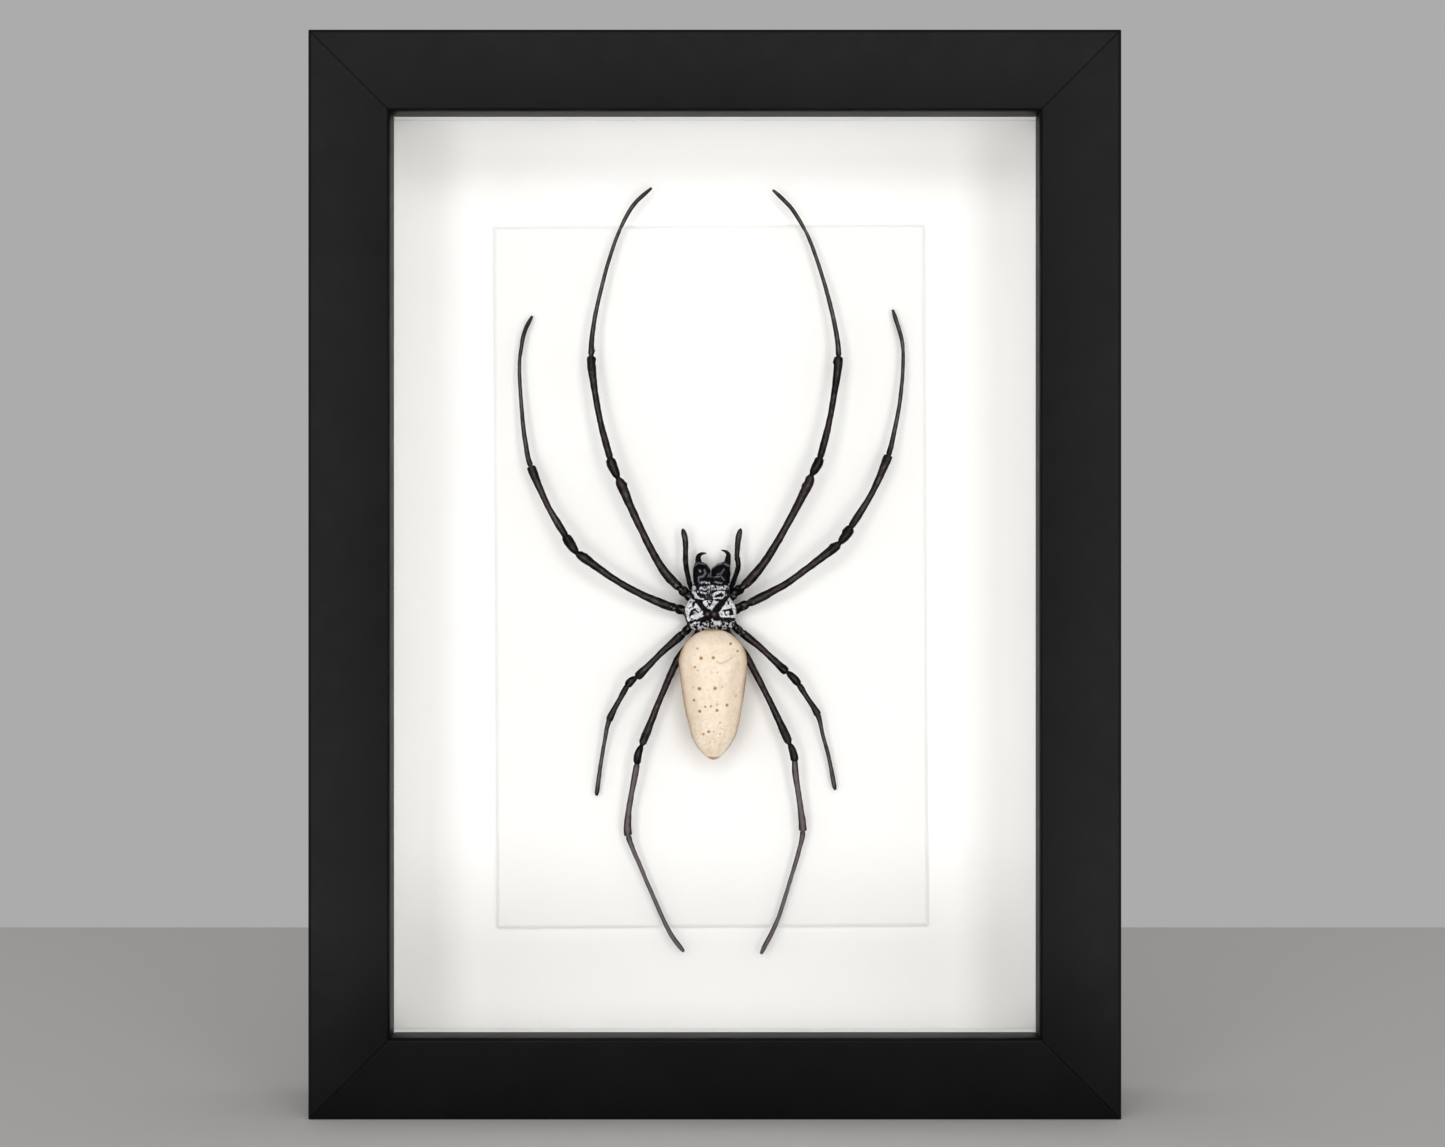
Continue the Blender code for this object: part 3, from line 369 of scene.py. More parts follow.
# Painted highlights and reflections on the glossy black jaws, drawn as marks like the above, as (right, up)
JAW_HIGHLIGHT_MARKS = (
    Stroke(0.5, (-2.84, 0.66), (-2.84, 0.59), 0.22),
    Stroke(0.32, (-1.97, 0.93), (-1.78, 0.27), 0.16),
    Stroke(0.32, (-1.78, 0.27), (-2.19, -0.36), 0.16),
    Stroke(0.34, (-2.19, -0.36), (-3.09, -0.54), 0.18),
    Stroke(0.3, (-3.09, -0.54), (-3.14, -1.19), 0.15),
    Stroke(0.42, (-1.02, 0.05), (-1.34, -0.83), 0.19),
    Stroke(0.3, (1.79, 1.0), (1.32, 0.27), 0.13),
    Stroke(0.28, (1.25, 0.24), (0.44, 0.09), 0.1),
    Stroke(0.38, (-0.65, -0.64), (0.74, -0.35), 0.16),
    Stroke(0.28, (1.17, -0.2), (1.76, -1.08), 0.13),
    Stroke(0.3, (-3.87, 1.76), (-3.06, 2.23), 0.16),
    Stroke(0.24, (-3.06, 2.23), (-1.97, 2.05), 0.12),
    Stroke(0.22, (-1.53, 1.88), (-0.94, 1.15), 0.1),
    Stroke(0.34, (-0.29, 1.36), (0.52, 1.92), 0.16),
    Stroke(0.3, (0.52, 1.92), (1.32, 2.1), 0.13),
    Stroke(0.3, (1.83, 2.05), (2.66, 1.66), 0.16),
)
# Grooves and bumps of the carapace, as strokes; a round one starts and ends at the same place
CERVICAL_GROOVES = (((-3.6, -4.3), (-0.8, -6.9)), ((3.8, -4.1), (0.9, -6.6)))
RADIAL_GROOVES = (
    ((-1.0, -7.4), (-4.8, -6.3)), ((-1.0, -8.0), (-4.6, -8.6)), ((-0.6, -8.6), (-2.9, -10.2)),
    ((1.1, -7.4), (4.9, -6.3)), ((1.1, -8.0), (4.7, -8.6)), ((0.7, -8.6), (3.0, -10.2)),
)
MIDDLE_DENT = ((0.08, -8.0), (0.08, -8.6))
TUBERCLES = (((-0.55, -7.55), (-0.55, -7.55)), ((0.72, -7.65), (0.72, -7.65)))
BROWN_EDGE = ((-4.9, -7.6), (-4.9, -7.6))
# Relief of the carapace, as (height, width, strokes), and its brown places, as (strength, width, strokes)
CARAPACE_RELIEF = (
    (-0.42, 0.42, CERVICAL_GROOVES), (-0.17, 0.3, RADIAL_GROOVES), (0.55, 0.36, TUBERCLES),
    (-0.35, 0.4, (MIDDLE_DENT,)),
)
CARAPACE_BROWN = ((0.02, 0.35, CERVICAL_GROOVES), (0.9, 0.3, (*TUBERCLES, BROWN_EDGE)))

# Pits on the abdomen, as (right, up, radius)
PITS = (
    (-2.63, -15.8, 0.34), (-0.28, -15.7, 0.34), (-2.98, -21.6, 0.36), (0.06, -21.5, 0.36),
    (-2.9, -25.9, 0.32), (0.45, -25.7, 0.3), (-1.8, -25.0, 0.24), (-0.76, -24.9, 0.24),
    (2.34, -24.7, 0.3), (-4.0, -23.8, 0.28), (-3.8, -17.5, 0.26), (-3.2, -18.1, 0.18),
    (-3.35, -14.0, 0.22), (3.06, -13.1, 0.28), (4.4, -14.5, 0.26), (-1.2, -29.8, 0.3),
    (-2.2, -30.3, 0.26), (1.0, -30.2, 0.2), (1.0, -28.1, 0.2), (1.35, -21.2, 0.18),
    (4.1, -23.0, 0.2), (-4.1, -21.4, 0.18), (-0.2, -29.8, 0.18), (0.5, -24.6, 0.18), (0.5, -18.5, 0.18),
)
# Unevenness of the abdomen, as (height, size, seed)
ABDOMEN_RIPPLES = ((0.13, 3.2, 5), (0.045, 1.1, 6), (0.02, 0.45, 9))
# Where the abdomen turns brown towards its ends, as (up where that starts, up where it is full)
FRONT_RIM = (-11.0, -10.55)
TAIL_RIM = (-34.4, -35.15)
TAIL_GRAIN = (-25.0, -32.0)
# Creases on the abdomen, as (start, end, width, depth, how brown)
CREASES = (
    ((0.45, -16.4), (1.05, -16.8), 0.2, 0.1, 0.4), ((1.05, -16.8), (2.25, -16.45), 0.2, 0.1, 0.42),
    ((2.25, -16.45), (3.35, -15.55), 0.2, 0.08, 0.3), ((3.35, -15.55), (4.3, -15.3), 0.25, 0.06, 0.16),
    ((4.6, -16.2), (4.0, -18.4), 0.55, 0.08, 0.16), ((4.0, -18.4), (3.4, -20.6), 0.6, 0.06, 0.18),
    ((1.2, -19.4), (0.7, -22.2), 0.3, 0.04, 0.12), ((3.4, -21.6), (2.8, -23.2), 0.4, 0.04, 0.12),
    ((-4.9, -16.0), (-4.2, -19.0), 0.5, 0.05, 0.14), ((-3.6, -26.2), (-2.6, -29.2), 0.4, 0.04, 0.12),
    ((3.7, -18.5), (2.7, -27.0), 1.1, 0.0, 0.13), ((-4.7, -18.0), (-3.7, -27.0), 0.9, 0.0, 0.11),
    ((-1.7, -30.8), (-0.7, -34.0), 0.4, 0.05, 0.16), ((1.4, -30.8), (0.7, -34.0), 0.45, 0.05, 0.18),
)

# Bristles of each part, as (slot, finish, per square millimetre, length, thickness, bend), in millimetres
BRISTLE_KINDS = {
    "leg": ("leg_cuticle", "dark", 3.2, 0.46, 0.013, 0.25),
    "palp": ("leg_cuticle", "dark", 14.0, 0.42, 0.013, 0.25),
    "jaw": ("jaw_cuticle", "dark", 7.0, 0.42, 0.014, 0.3),
    "carapace": ("carapace", "silver", 80.0, 0.17, 0.014, -0.2),
    "abdomen": ("abdomen_skin", "pale", 1.6, 0.34, 0.01, 0.2),
}

# Floor and surroundings
FLOOR_REAR = 0.256
FLOOR_FRONT = -0.1
FLOOR_WIDTH = 3.0
FLOOR_THICKNESS = 0.04
# Grey of the surroundings, and how it changes towards the front, as (start, end, grey) with start and end the
# direction's y; round the camera it is dim, because the glass and the rails mirror it
GREY_BEHIND = 0.412
GREY_CHANGES = ((0.15, -0.6, 0.4), (-0.93, -0.965, 0.06))

# Lamps round the camera, as (name, x, height over the camera's, width, height, watts)
RING_Y = -1.2
RING_LAMPS = (
    ("left", -0.48, 0.0, 0.36, 0.44, 2.15), ("right", 0.48, 0.0, 0.36, 0.44, 2.15),
    ("high_left", -0.44, 0.46, 0.36, 0.36, 2.0), ("high_right", 0.44, 0.46, 0.36, 0.36, 2.0),
    ("high", 0.0, 0.6, 0.44, 0.44, 2.7), ("low", 0.0, -0.5, 0.44, 0.22, 2.35),
    ("low_left", -0.44, -0.42, 0.36, 0.32, 2.05), ("low_right", 0.44, -0.42, 0.36, 0.32, 2.05),
)
WIDE_LAMP_PLACE = (1.15, -0.85, 0.12)  # the right one's; the left one mirrors it
WIDE_LAMP_SIZE = (0.8, 0.5)
WIDE_LAMP_WATTS = 2.1
LAMP_COLOUR = (1.0, 0.99, 0.978)

# Fineness of the meshes
PATH_STEPS = 24
RING_SPACING = 0.22  # millimetres
RING_CROWDING = 0.55  # how much the rings of a leg crowd at its joints
LEG_SIDES = 28
CARAPACE_SIDES, CARAPACE_RINGS = 200, 170
JAW_SIDES, JAW_RINGS = 72, 90
ABDOMEN_SIDES, ABDOMEN_RINGS = 220, 280
FANG_SIDES, FANG_RINGS = 24, 70
PEDICEL_SIDES, PEDICEL_RINGS = 20, 40
RIVET_SIDES, RIVET_RINGS = 32, 9


# Paths and outlines


def smoothstep(low, high, value):
    """0 at the low value and 1 at the high one, with a smooth change between; low may be the greater."""
    t = np.clip((value - low) / (high - low), 0.0, 1.0)
    return t * t * (3 - 2 * t)


def bell(distance, width):
    """1 at no distance, falling smoothly to nothing over about twice this width."""
    return np.exp(-((distance / width) ** 2))


def smooth_path(points):
    """Points along a smooth curve through these, PATH_STEPS to a span, the first and last included."""
    points = np.asarray(points, float)
    ends = np.vstack([2 * points[0] - points[1], points, 2 * points[-1] - points[-2]])
    t = (np.arange(PATH_STEPS) / PATH_STEPS)[:, None]
    path = []
    for a, b, c, d in zip(ends, ends[1:], ends[2:], ends[3:]):
        path.append(0.5 * (2 * b + (c - a) * t + (2 * a - 5 * b + 4 * c - d) * t**2
                           + (3 * b - a - 3 * c + d) * t**3))
    return np.vstack([*path, points[-1]])


def running_lengths(path):
    """How far each point of a path is from its start, along it."""
    steps = np.linalg.norm(np.diff(path, axis=0), axis=1)
    return np.concatenate([[0.0], np.cumsum(steps)])


def sample(path, lengths, wanted):
    """The path's points at these distances along it."""
    return np.stack([np.interp(wanted, lengths, column) for column in path.T], axis=-1)


def on_panel(places):
    """World positions of places given in millimetres as (right, up, out of the panel)."""
    right, up, out = np.moveaxis(np.asarray(places, float) * MM, -1, 0)
    return np.stack([MIDDLE.x + right, PANEL_FRONT - out, MIDDLE.z + up], axis=-1)


def arc(centre, radius, start, end, steps):
    """Points along an arc, both ends included."""
    angles = [start + (end - start) * i / steps for i in range(steps + 1)]
    return [(centre[0] + radius * math.cos(a), centre[1] + radius * math.sin(a)) for a in angles]


def stroke_distance(x, y, start, end):
    """How far places are from a straight stroke."""
    start, end = np.array(start), np.array(end)
    along = end - start
    share = np.clip(((x - start[0]) * along[0] + (y - start[1]) * along[1]) / (along @ along + 1e-9), 0, 1)
    return np.hypot(x - start[0] - share * along[0], y - start[1] - share * along[1])


def area_distance(x, y, corners):
    """How far places are outside an outline without hollows, negative inside. Its corners run clockwise."""
    corners = np.array(corners)
    centre = corners.mean(0)
    outside = []
    for a, b in zip(corners, np.roll(corners, -1, axis=0)):
        normal = np.array([b[1] - a[1], a[0] - b[0]]) / np.hypot(*(b - a))
        if normal @ (centre - a) > 0:
            normal = -normal
        outside.append((x - a[0]) * normal[0] + (y - a[1]) * normal[1])
    return np.max(outside, axis=0)


def painted_cover(marks, x, y, angle):
    """How much the marks cover each place on the upper side: pale hair on the carapace, painted highlights on
    the jaws. Later marks lie over earlier ones.
    """
    cover = np.zeros_like(x)
    for mark in marks:
        if isinstance(mark, Area):
            distance = area_distance(x, y, mark.corners)
        else:
            distance = stroke_distance(x, y, mark.start, mark.end) - mark.radius
        weight = smoothstep(0.08, -0.08, distance)
        cover = cover * (1 - weight) + mark.cover * weight
    return cover * smoothstep(0.0, 0.35, np.sin(angle))


def ripple(places, size, seed):
    """Smooth noise from -1 to 1 at places in millimetres, with bumps of about this size."""
    shift = Vector((seed * 17.3, seed * 5.1, seed * 9.7))
    flat = places.reshape(-1, 3)
    values = [noise.noise(Vector(place) / size + shift) for place in flat]
    return np.array(values).reshape(places.shape[:-1])


# Meshes


def new_object(name, mesh, *finishes):
    obj = bpy.data.objects.new(name, mesh)
    for finish in finishes:
        mesh.materials.append(finish)
    bpy.context.scene.collection.objects.link(obj)
    return obj


def mesh_from(name, work, sharp=None):
    """The bmesh as a mesh; with an angle in degrees it is smooth except at edges sharper than that."""
    mesh = bpy.data.meshes.new(name)
    work.to_mesh(mesh)
    work.free()
    if sharp is not None:
        mesh.shade_smooth()
        mesh.set_sharp_from_angle(angle=math.radians(sharp))
    return mesh


def part_of_model(obj, slot, *nodes):
    """Ties a finished piece to the model's one body and hides the solids that it stands for."""
    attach(obj, "root")
    if nodes:
        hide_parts(*nodes)


def set_attribute(mesh, name, values, kind="FLOAT"):
    attribute = mesh.attributes.new(name, kind, "POINT")
    field = "vector" if kind == "FLOAT_VECTOR" else "value"
    attribute.data.foreach_set(field, np.asarray(values, np.float32).ravel())


def skin(name, rings, ends, attributes):
    """A closed mesh over rings of places, closed at its two ends; attributes have a value for each place."""
    count, sides = rings.shape[:2]
    verts = np.concatenate([ends[:1], rings.reshape(-1, 3), ends[1:]])
    index = 1 + np.arange(count * sides).reshape(count, sides)
    turned = np.roll(index, -1, axis=1)
    quads = np.stack([index[:-1], turned[:-1], turned[1:], index[1:]], axis=-1).reshape(-1, 4)
    last = len(verts) - 1
    fans = [(0, b, a) for a, b in zip(index[0], turned[0])]
    fans += [(last, a, b) for a, b in zip(index[-1], turned[-1])]
    mesh = bpy.data.meshes.new(name)
    mesh.from_pydata(verts.tolist(), [], quads.tolist() + [tuple(map(int, fan)) for fan in fans])
    outward_normals(mesh)
    for key, values in attributes.items():
        flat = values.reshape(count * sides, -1)
        full = np.concatenate([values[0].reshape(sides, -1).mean(0)[None], flat,
                               values[-1].reshape(sides, -1).mean(0)[None]])
        set_attribute(mesh, key, full, "FLOAT_VECTOR" if full.shape[1] == 3 else "FLOAT")
    mesh.shade_smooth()
    return mesh


def outward_normals(mesh):
    work = bmesh.new()
    work.from_mesh(mesh)
    bmesh.ops.recalc_face_normals(work, faces=work.faces)
    work.to_mesh(mesh)
    work.free()


def body_rings(rows, middle, sides, rings, taper):
    """Places in millimetres over a body whose sections follow the rows, and the angle of each place."""
    path = smooth_path(rows)
    lengths = running_lengths(path[:, [0, 2, 3]])
    wanted = (np.arange(rings) + 0.5) / rings * lengths[-1]
    up, shift, half_width, lowest, edge, highest = sample(path, lengths, wanted).T[:, :, None]
    angle = (np.arange(sides) / sides * 2 * math.pi)[None, :]
    rise = np.sin(angle)
    across = half_width * np.cos(angle) * np.where(rise < 0, 1 + taper * rise, 1)
    out = edge + np.where(rise > 0, highest - edge, edge - lowest) * rise
    right = middle + shift + across
    return np.stack([right, np.broadcast_to(up, right.shape), out], axis=-1), angle + 0 * right


def body_ends(rows, middle):
    """The places where a body begins and ends."""
    return on_panel([(middle + shift, up, edge) for up, shift, _, _, edge, _ in (rows[0], rows[-1])])


def tube_rings(path, lengths, at, widths, heights, sides):
    """Rings round a path at these distances along it, the first place of each on its left side.

    Returns the places in millimetres, the outward directions, the path's directions and the angles.
    """
    centres = sample(path, lengths, at)
    ahead = sample(path, lengths, np.minimum(at + 0.3, lengths[-1]))
    behind = sample(path, lengths, np.maximum(at - 0.3, 0.0))
    tangent = ahead - behind
    tangent /= np.linalg.norm(tangent, axis=1)[:, None]
    dorsal = np.array([0.0, 0.0, 1.0]) - tangent * tangent[:, 2:3]
    dorsal /= np.linalg.norm(dorsal, axis=1)[:, None]
    side = np.cross(dorsal, tangent)
    angle = np.arange(sides) / sides * 2 * math.pi
    angle = np.broadcast_to(angle, (len(at), sides))
    outward = np.cos(angle)[..., None] * side[:, None] + np.sin(angle)[..., None] * dorsal[:, None]
    reach = np.cos(angle)[..., None] * side[:, None] * widths[:, None, None] / 2
    reach = reach + np.sin(angle)[..., None] * dorsal[:, None] * heights[:, None, None] / 2
    return centres[:, None] + reach, outward, np.broadcast_to(tangent[:, None], outward.shape), angle


def even_path(points, rings):
    """A smooth path through points, its running lengths, and this many even distances along it."""
    path = smooth_path(points)
    lengths = running_lengths(path)
    return path, lengths, np.linspace(0.0, lengths[-1], rings)


def world_direction(directions):
    """Turns directions given as (right, up, out) into world ones."""
    return np.stack([directions[..., 0], -directions[..., 2], directions[..., 1]], axis=-1)


# Shader nodes

MIX_FACTOR, MIX_A, MIX_B, MIX_RESULT = 0, 6, 7, 2


def add_node(tree, kind, inputs=None, **settings):
    """A node with its settings; an input that is another node's output is linked, and any other is set."""
    node = tree.nodes.new(kind)
    for key, value in settings.items():
        setattr(node, key, value)
    for key, value in (inputs or {}).items():
        if isinstance(value, bpy.types.NodeSocket):
            tree.links.new(value, node.inputs[key])
        else:
            node.inputs[key].default_value = value
    return node


def add_math(tree, operation, *values, clamp=False):
    node = add_node(tree, "ShaderNodeMath", dict(enumerate(values)), operation=operation, use_clamp=clamp)
    return node.outputs[0]


def new_group(name, kind, inputs, outputs):
    """A node group with sockets given as (name, type, default), what it is given, and what it puts out."""
    tree = bpy.data.node_groups.new(name, kind)
    for in_out, sockets in (("INPUT", inputs), ("OUTPUT", outputs)):
        for label, socket_kind, default in sockets:
            socket = tree.interface.new_socket(label, in_out=in_out, socket_type="NodeSocket" + socket_kind)
            if default is not None:
                socket.default_value = default
    return tree, tree.nodes.new("NodeGroupInput").outputs, tree.nodes.new("NodeGroupOutput").inputs


def mottle_group():
    """Cloudy variation between two values."""
    tree, given, result = new_group("mottle", "ShaderNodeTree", (
        ("Vector", "Vector", None), ("Scale", "Float", 100.0), ("Detail", "Float", 4.0),
        ("Low", "Float", 0.0), ("High", "Float", 1.0),
    ), (("Value", "Float", None),))
    cloud = add_node(tree, "ShaderNodeTexNoise", {
        "Vector": given["Vector"], "Scale": given["Scale"], "Detail": given["Detail"], "Roughness": 0.6})
    spread = add_node(tree, "ShaderNodeMapRange", {
        "Value": cloud.outputs["Fac"], "From Min": 0.32, "From Max": 0.68,
        "To Min": given["Low"], "To Max": given["High"]})
    tree.links.new(spread.outputs["Result"], result["Value"])
    return tree


def specks_group():
    """Scattered round specks: 1 on a speck, 0 off it."""
    tree, given, result = new_group("specks", "ShaderNodeTree", (
        ("Vector", "Vector", None), ("Scale", "Float", 300.0),
        ("Size", "Float", 0.15), ("Share", "Float", 0.2),
    ), (("Mask", "Float", None),))
    cells = add_node(tree, "ShaderNodeTexVoronoi", {"Vector": given["Vector"], "Scale": given["Scale"]})
    near = add_math(tree, "LESS_THAN", cells.outputs["Distance"], given["Size"])
    chosen = add_math(tree, "LESS_THAN", cells.outputs["Color"], given["Share"])
    tree.links.new(add_math(tree, "MULTIPLY", near, chosen), result["Mask"])
    return tree


GROUPS = {"mottle": mottle_group(), "specks": specks_group()}


class Finish:
    """A material with one Principled shader, and short calls for the nodes that feed it."""

    def __init__(self, name, **values):
        self.material = bpy.data.materials.new(name)
        self.material.use_nodes = True
        self.tree = self.material.node_tree
        self.shader = self.tree.nodes["Principled BSDF"]
        for key, value in values.items():
            socket = self.shader.inputs[key.replace("_", " ")]
            socket.default_value = (*value, 1.0) if socket.type == "RGBA" else value

    def add(self, kind, inputs=None, **settings):
        return add_node(self.tree, kind, inputs, **settings)

    def feed(self, socket, value):
        self.tree.links.new(value, self.shader.inputs[socket])

    def place(self, stretch=(1.0, 1.0, 1.0), uv=False):
        """The surface's own place, stretched along each axis."""
        source = self.add("ShaderNodeTexCoord").outputs["UV" if uv else "Object"]
        return self.add("ShaderNodeMapping", {"Vector": source, "Scale": stretch}).outputs["Vector"]

    def attribute(self, name):
        return self.add("ShaderNodeAttribute", attribute_name=name).outputs["Fac"]

    def group(self, name, **inputs):
        return self.add("ShaderNodeGroup", inputs, node_tree=GROUPS[name]).outputs[0]

    def mottle(self, place, scale, detail, low=0.0, high=1.0):
        return self.group("mottle", Vector=place, Scale=scale, Detail=detail, Low=low, High=high)

    def math(self, operation, *values, clamp=False):
        return add_math(self.tree, operation, *values, clamp=clamp)

    def mix(self, factor, first, second, blend="MIX"):
        inputs = {MIX_FACTOR: factor}
        for key, value in ((MIX_A, first), (MIX_B, second)):
            inputs[key] = value if isinstance(value, bpy.types.NodeSocket) else (*value, 1.0)
        return self.add("ShaderNodeMix", inputs, data_type="RGBA", blend_type=blend).outputs[MIX_RESULT]

    def bump(self, height, strength, distance):
        node = self.add("ShaderNodeBump", {"Height": height, "Strength": strength, "Distance": distance})
        self.feed("Normal", node.outputs["Normal"])
        return self.material


# Finishes of the frame


def painted_wood():
    """Black satin paint over pine, bare in the rebate and on the back, with the grain along the rail."""
    finish = Finish("black satin paint", IOR=1.45, Specular_IOR_Level=0.105)
    along = finish.place(uv=True)
    grain = finish.mottle(finish.place((60.0, 900.0, 1.0), uv=True), 1.0, 5.0)
    rings = finish.mottle(finish.place((18.0, 260.0, 1.0), uv=True), 1.0, 2.0)
    wood = finish.mix(rings, (0.52, 0.33, 0.17), (0.7, 0.5, 0.29))
    wood = finish.mix(finish.math("MULTIPLY", grain, 0.5), wood, (0.38, 0.22, 0.1))
    ragged = finish.mottle(along, 900.0, 3.0, low=0.25, high=0.75)
    painted = finish.math("GREATER_THAN", finish.attribute("paint"), ragged)
    cloud = finish.mottle(along, 45.0, 3.0)
    black = finish.mix(cloud, (0.002, 0.002, 0.0024), (0.0036, 0.0036, 0.0043))
    finish.feed("Base Color", finish.mix(painted, wood, black))
    sheen = finish.mottle(along, 240.0, 4.0, low=0.34, high=0.42)
    finish.feed("Roughness", finish.mix(painted, (0.75, 0.75, 0.75), sheen))
    return finish.bump(grain, 0.16, 0.02 * MM)


def clear_glass():
    """Clear glazing, which lets light through to what lies behind it."""
    finish = Finish("clear glass", Base_Color=(0.988, 0.992, 0.99), Roughness=0.0, IOR=1.12,
                    Transmission_Weight=1.0)
    rays = finish.add("ShaderNodeLightPath")
    open_way = finish.add("ShaderNodeBsdfTransparent", {"Color": (0.93, 0.93, 0.93, 1.0)})
    through = finish.math("MAXIMUM", rays.outputs["Is Shadow Ray"], rays.outputs["Is Diffuse Ray"])
    both = finish.add("ShaderNodeMixShader", {0: through})
    finish.tree.links.new(finish.shader.outputs[0], both.inputs[1])
    finish.tree.links.new(open_way.outputs[0], both.inputs[2])
    finish.tree.links.new(both.outputs[0], finish.tree.nodes["Material Output"].inputs["Surface"])
    return finish.material


def white_paper(name, light, shade, fibre=0.2):
    """Matt white paper or card, with fine fibres, a little dust and an uneven tone."""
    finish = Finish(name, IOR=1.4)
    place = finish.place()
    tone = finish.mottle(place, 35.0, 3.0)
    colour = finish.mix(tone, shade, light)
    dust = finish.group("specks", Vector=place, Scale=260.0, Size=0.045, Share=0.06)
    colour = finish.mix(finish.math("MULTIPLY", dust, 0.45), colour, (0.35, 0.33, 0.3))
    finish.feed("Base Color", colour)
    finish.feed("Roughness", finish.mottle(place, 500.0, 3.0, low=0.78, high=0.92))
    fibres = finish.mottle(place, 2600.0, 6.0)
    return finish.bump(fibres, fibre, 0.02 * MM)


def hardboard():
    """Smooth brown hardboard with short fibres pressed into it."""
    finish = Finish("hardboard", IOR=1.45)
    place = finish.place()
    fibres = finish.mottle(finish.place((900.0, 900.0, 420.0)), 1.0, 6.0)
    cloud = finish.mottle(place, 60.0, 4.0)
    brown = finish.mix(cloud, (0.17, 0.098, 0.052), (0.235, 0.145, 0.082))
    brown = finish.mix(finish.math("MULTIPLY", fibres, 0.45), brown, (0.34, 0.23, 0.14))
    dark = finish.group("specks", Vector=place, Scale=420.0, Size=0.28, Share=0.18)
    finish.feed("Base Color", finish.mix(finish.math("MULTIPLY", dark, 0.5), brown, (0.07, 0.04, 0.022)))
    finish.feed("Roughness", finish.mottle(place, 300.0, 4.0, low=0.42, high=0.68))
    return finish.bump(fibres, 0.3, 0.03 * MM)


def plated_metal(name, bright, dull, roughness):
    """Stamped sheet metal with a rolled grain and a tarnish that comes and goes."""
    finish = Finish(name, Metallic=1.0)
    place = finish.place()
    tarnish = finish.mottle(place, 420.0, 5.0)
    finish.feed("Base Color", finish.mix(tarnish, bright, dull))
    rolled = finish.mottle(finish.place((300.0, 300.0, 6000.0)), 1.0, 4.0)
    finish.feed("Roughness", finish.math("MULTIPLY_ADD", tarnish, 0.16, roughness))
    return finish.bump(rolled, 0.25, 0.01 * MM)


# Finishes of the spider


def leg_cuticle():
    """Black-brown to warm grey cuticle, drier and paler along the shanks, with fine lengthwise wrinkles; its
    tone attribute also carries painted shade on the sides and in the furrows, and painted highlights along
    the top.
    """
    finish = Finish("leg cuticle", IOR=1.5, Specular_IOR_Level=0.06)
    place = finish.place()
    blotch = finish.mottle(place, 900.0, 4.0, low=-0.2, high=0.22)
    tone = finish.math("ADD", finish.attribute("tone"), blotch, clamp=True)
    ramp = finish.add("ShaderNodeValToRGB", {"Fac": tone})
    stops = ((0.0, (0.002, 0.0018, 0.002)), (0.3, (0.018, 0.012, 0.014)), (0.6, (0.05, 0.037, 0.034)),
             (1.0, (0.14, 0.112, 0.118)))
    for _ in stops[2:]:
        ramp.color_ramp.elements.new(0.5)
    for element, (position, colour) in zip(ramp.color_ramp.elements, stops):
        element.position = position
        element.color = (*colour, 1.0)
    bluish = finish.mottle(place, 700.0, 3.0, low=-0.6, high=0.7)
    bluish = finish.math("MULTIPLY", bluish, 0.8, clamp=True)
    finish.feed("Base Color", finish.mix(bluish, ramp.outputs["Color"], (0.9, 0.95, 1.25), "MULTIPLY"))
    fine = finish.mottle(place, 3800.0, 4.0)
    rough = finish.math("MULTIPLY_ADD", finish.attribute("gloss"), -0.24, 0.46)
    finish.feed("Roughness", finish.math("ADD", rough, finish.math("MULTIPLY", fine, 0.1)))
    return finish.bump(fine, 0.7, 0.04 * MM)


def bristle_finish(name, root, tip, roughness):
    """Bristles, a little different from one to the next."""
    finish = Finish(name, Roughness=roughness, IOR=1.5, Specular_IOR_Level=0.06)
    tone = finish.mottle(finish.place(), 2200.0, 2.0)
    finish.feed("Base Color", finish.mix(tone, root, tip))
    return finish.material


def carapace_finish():
    """Black cuticle, covered by silver hair where the cover attribute says so."""
    finish = Finish("carapace cuticle", IOR=1.5, Specular_IOR_Level=0.03)
    place = finish.place()
    strands = finish.mottle(finish.place((5200.0, 5200.0, 1500.0)), 1.0, 4.0, low=-0.42, high=0.34)
    cover = finish.math("ADD", finish.attribute("cover"), strands, clamp=True)
    window = {"Value": cover, "From Min": 0.25, "From Max": 0.8}
    cover = finish.add("ShaderNodeMapRange", window).outputs["Result"]
    cloud = finish.mottle(place, 800.0, 4.0)
    dark = finish.mix(finish.attribute("brown"), (0.002, 0.002, 0.003), (0.19, 0.12, 0.115))
    dark = finish.mix(finish.math("MULTIPLY", cloud, 0.15), dark, (0.016, 0.016, 0.022))
    silver = finish.mix(cloud, (0.48, 0.485, 0.53), (0.88, 0.88, 0.9))
    finish.feed("Base Color", finish.mix(cover, dark, silver))
    finish.feed("Roughness", finish.math("ADD", 0.34, finish.math("MULTIPLY", cover, 0.4)))
    fine = finish.mottle(place, 3000.0, 5.0)
    return finish.bump(fine, 0.6, 0.04 * MM)


def glossy_black(name, colour, roughness, tip=None, patches=False):
    """Hard polished cuticle of the jaws, fangs and eyes, with painted pale highlights and reflections where
    asked.
    """
    finish = Finish(name, IOR=1.5, Specular_IOR_Level=0.04)
    place = finish.place()
    cloud = finish.mottle(place, 1400.0, 4.0)
    base = finish.mix(finish.math("MULTIPLY", cloud, 0.1), colour, (0.014, 0.015, 0.021))
    if tip:
        base = finish.mix(finish.attribute("tone"), base, tip)
    shine = finish.math("MULTIPLY_ADD", cloud, 0.14, roughness)
    # Painted highlights and reflections: pale blue-grey where the cover attribute says, and rougher there
    if patches:
        cover = finish.attribute("cover")
        base = finish.mix(cover, base, (0.38, 0.39, 0.47))
        shine = finish.math("ADD", shine, finish.math("MULTIPLY", cover, 0.5))
    finish.feed("Base Color", base)
    finish.feed("Roughness", shine)
    return finish.bump(cloud, 0.25, 0.04 * MM)


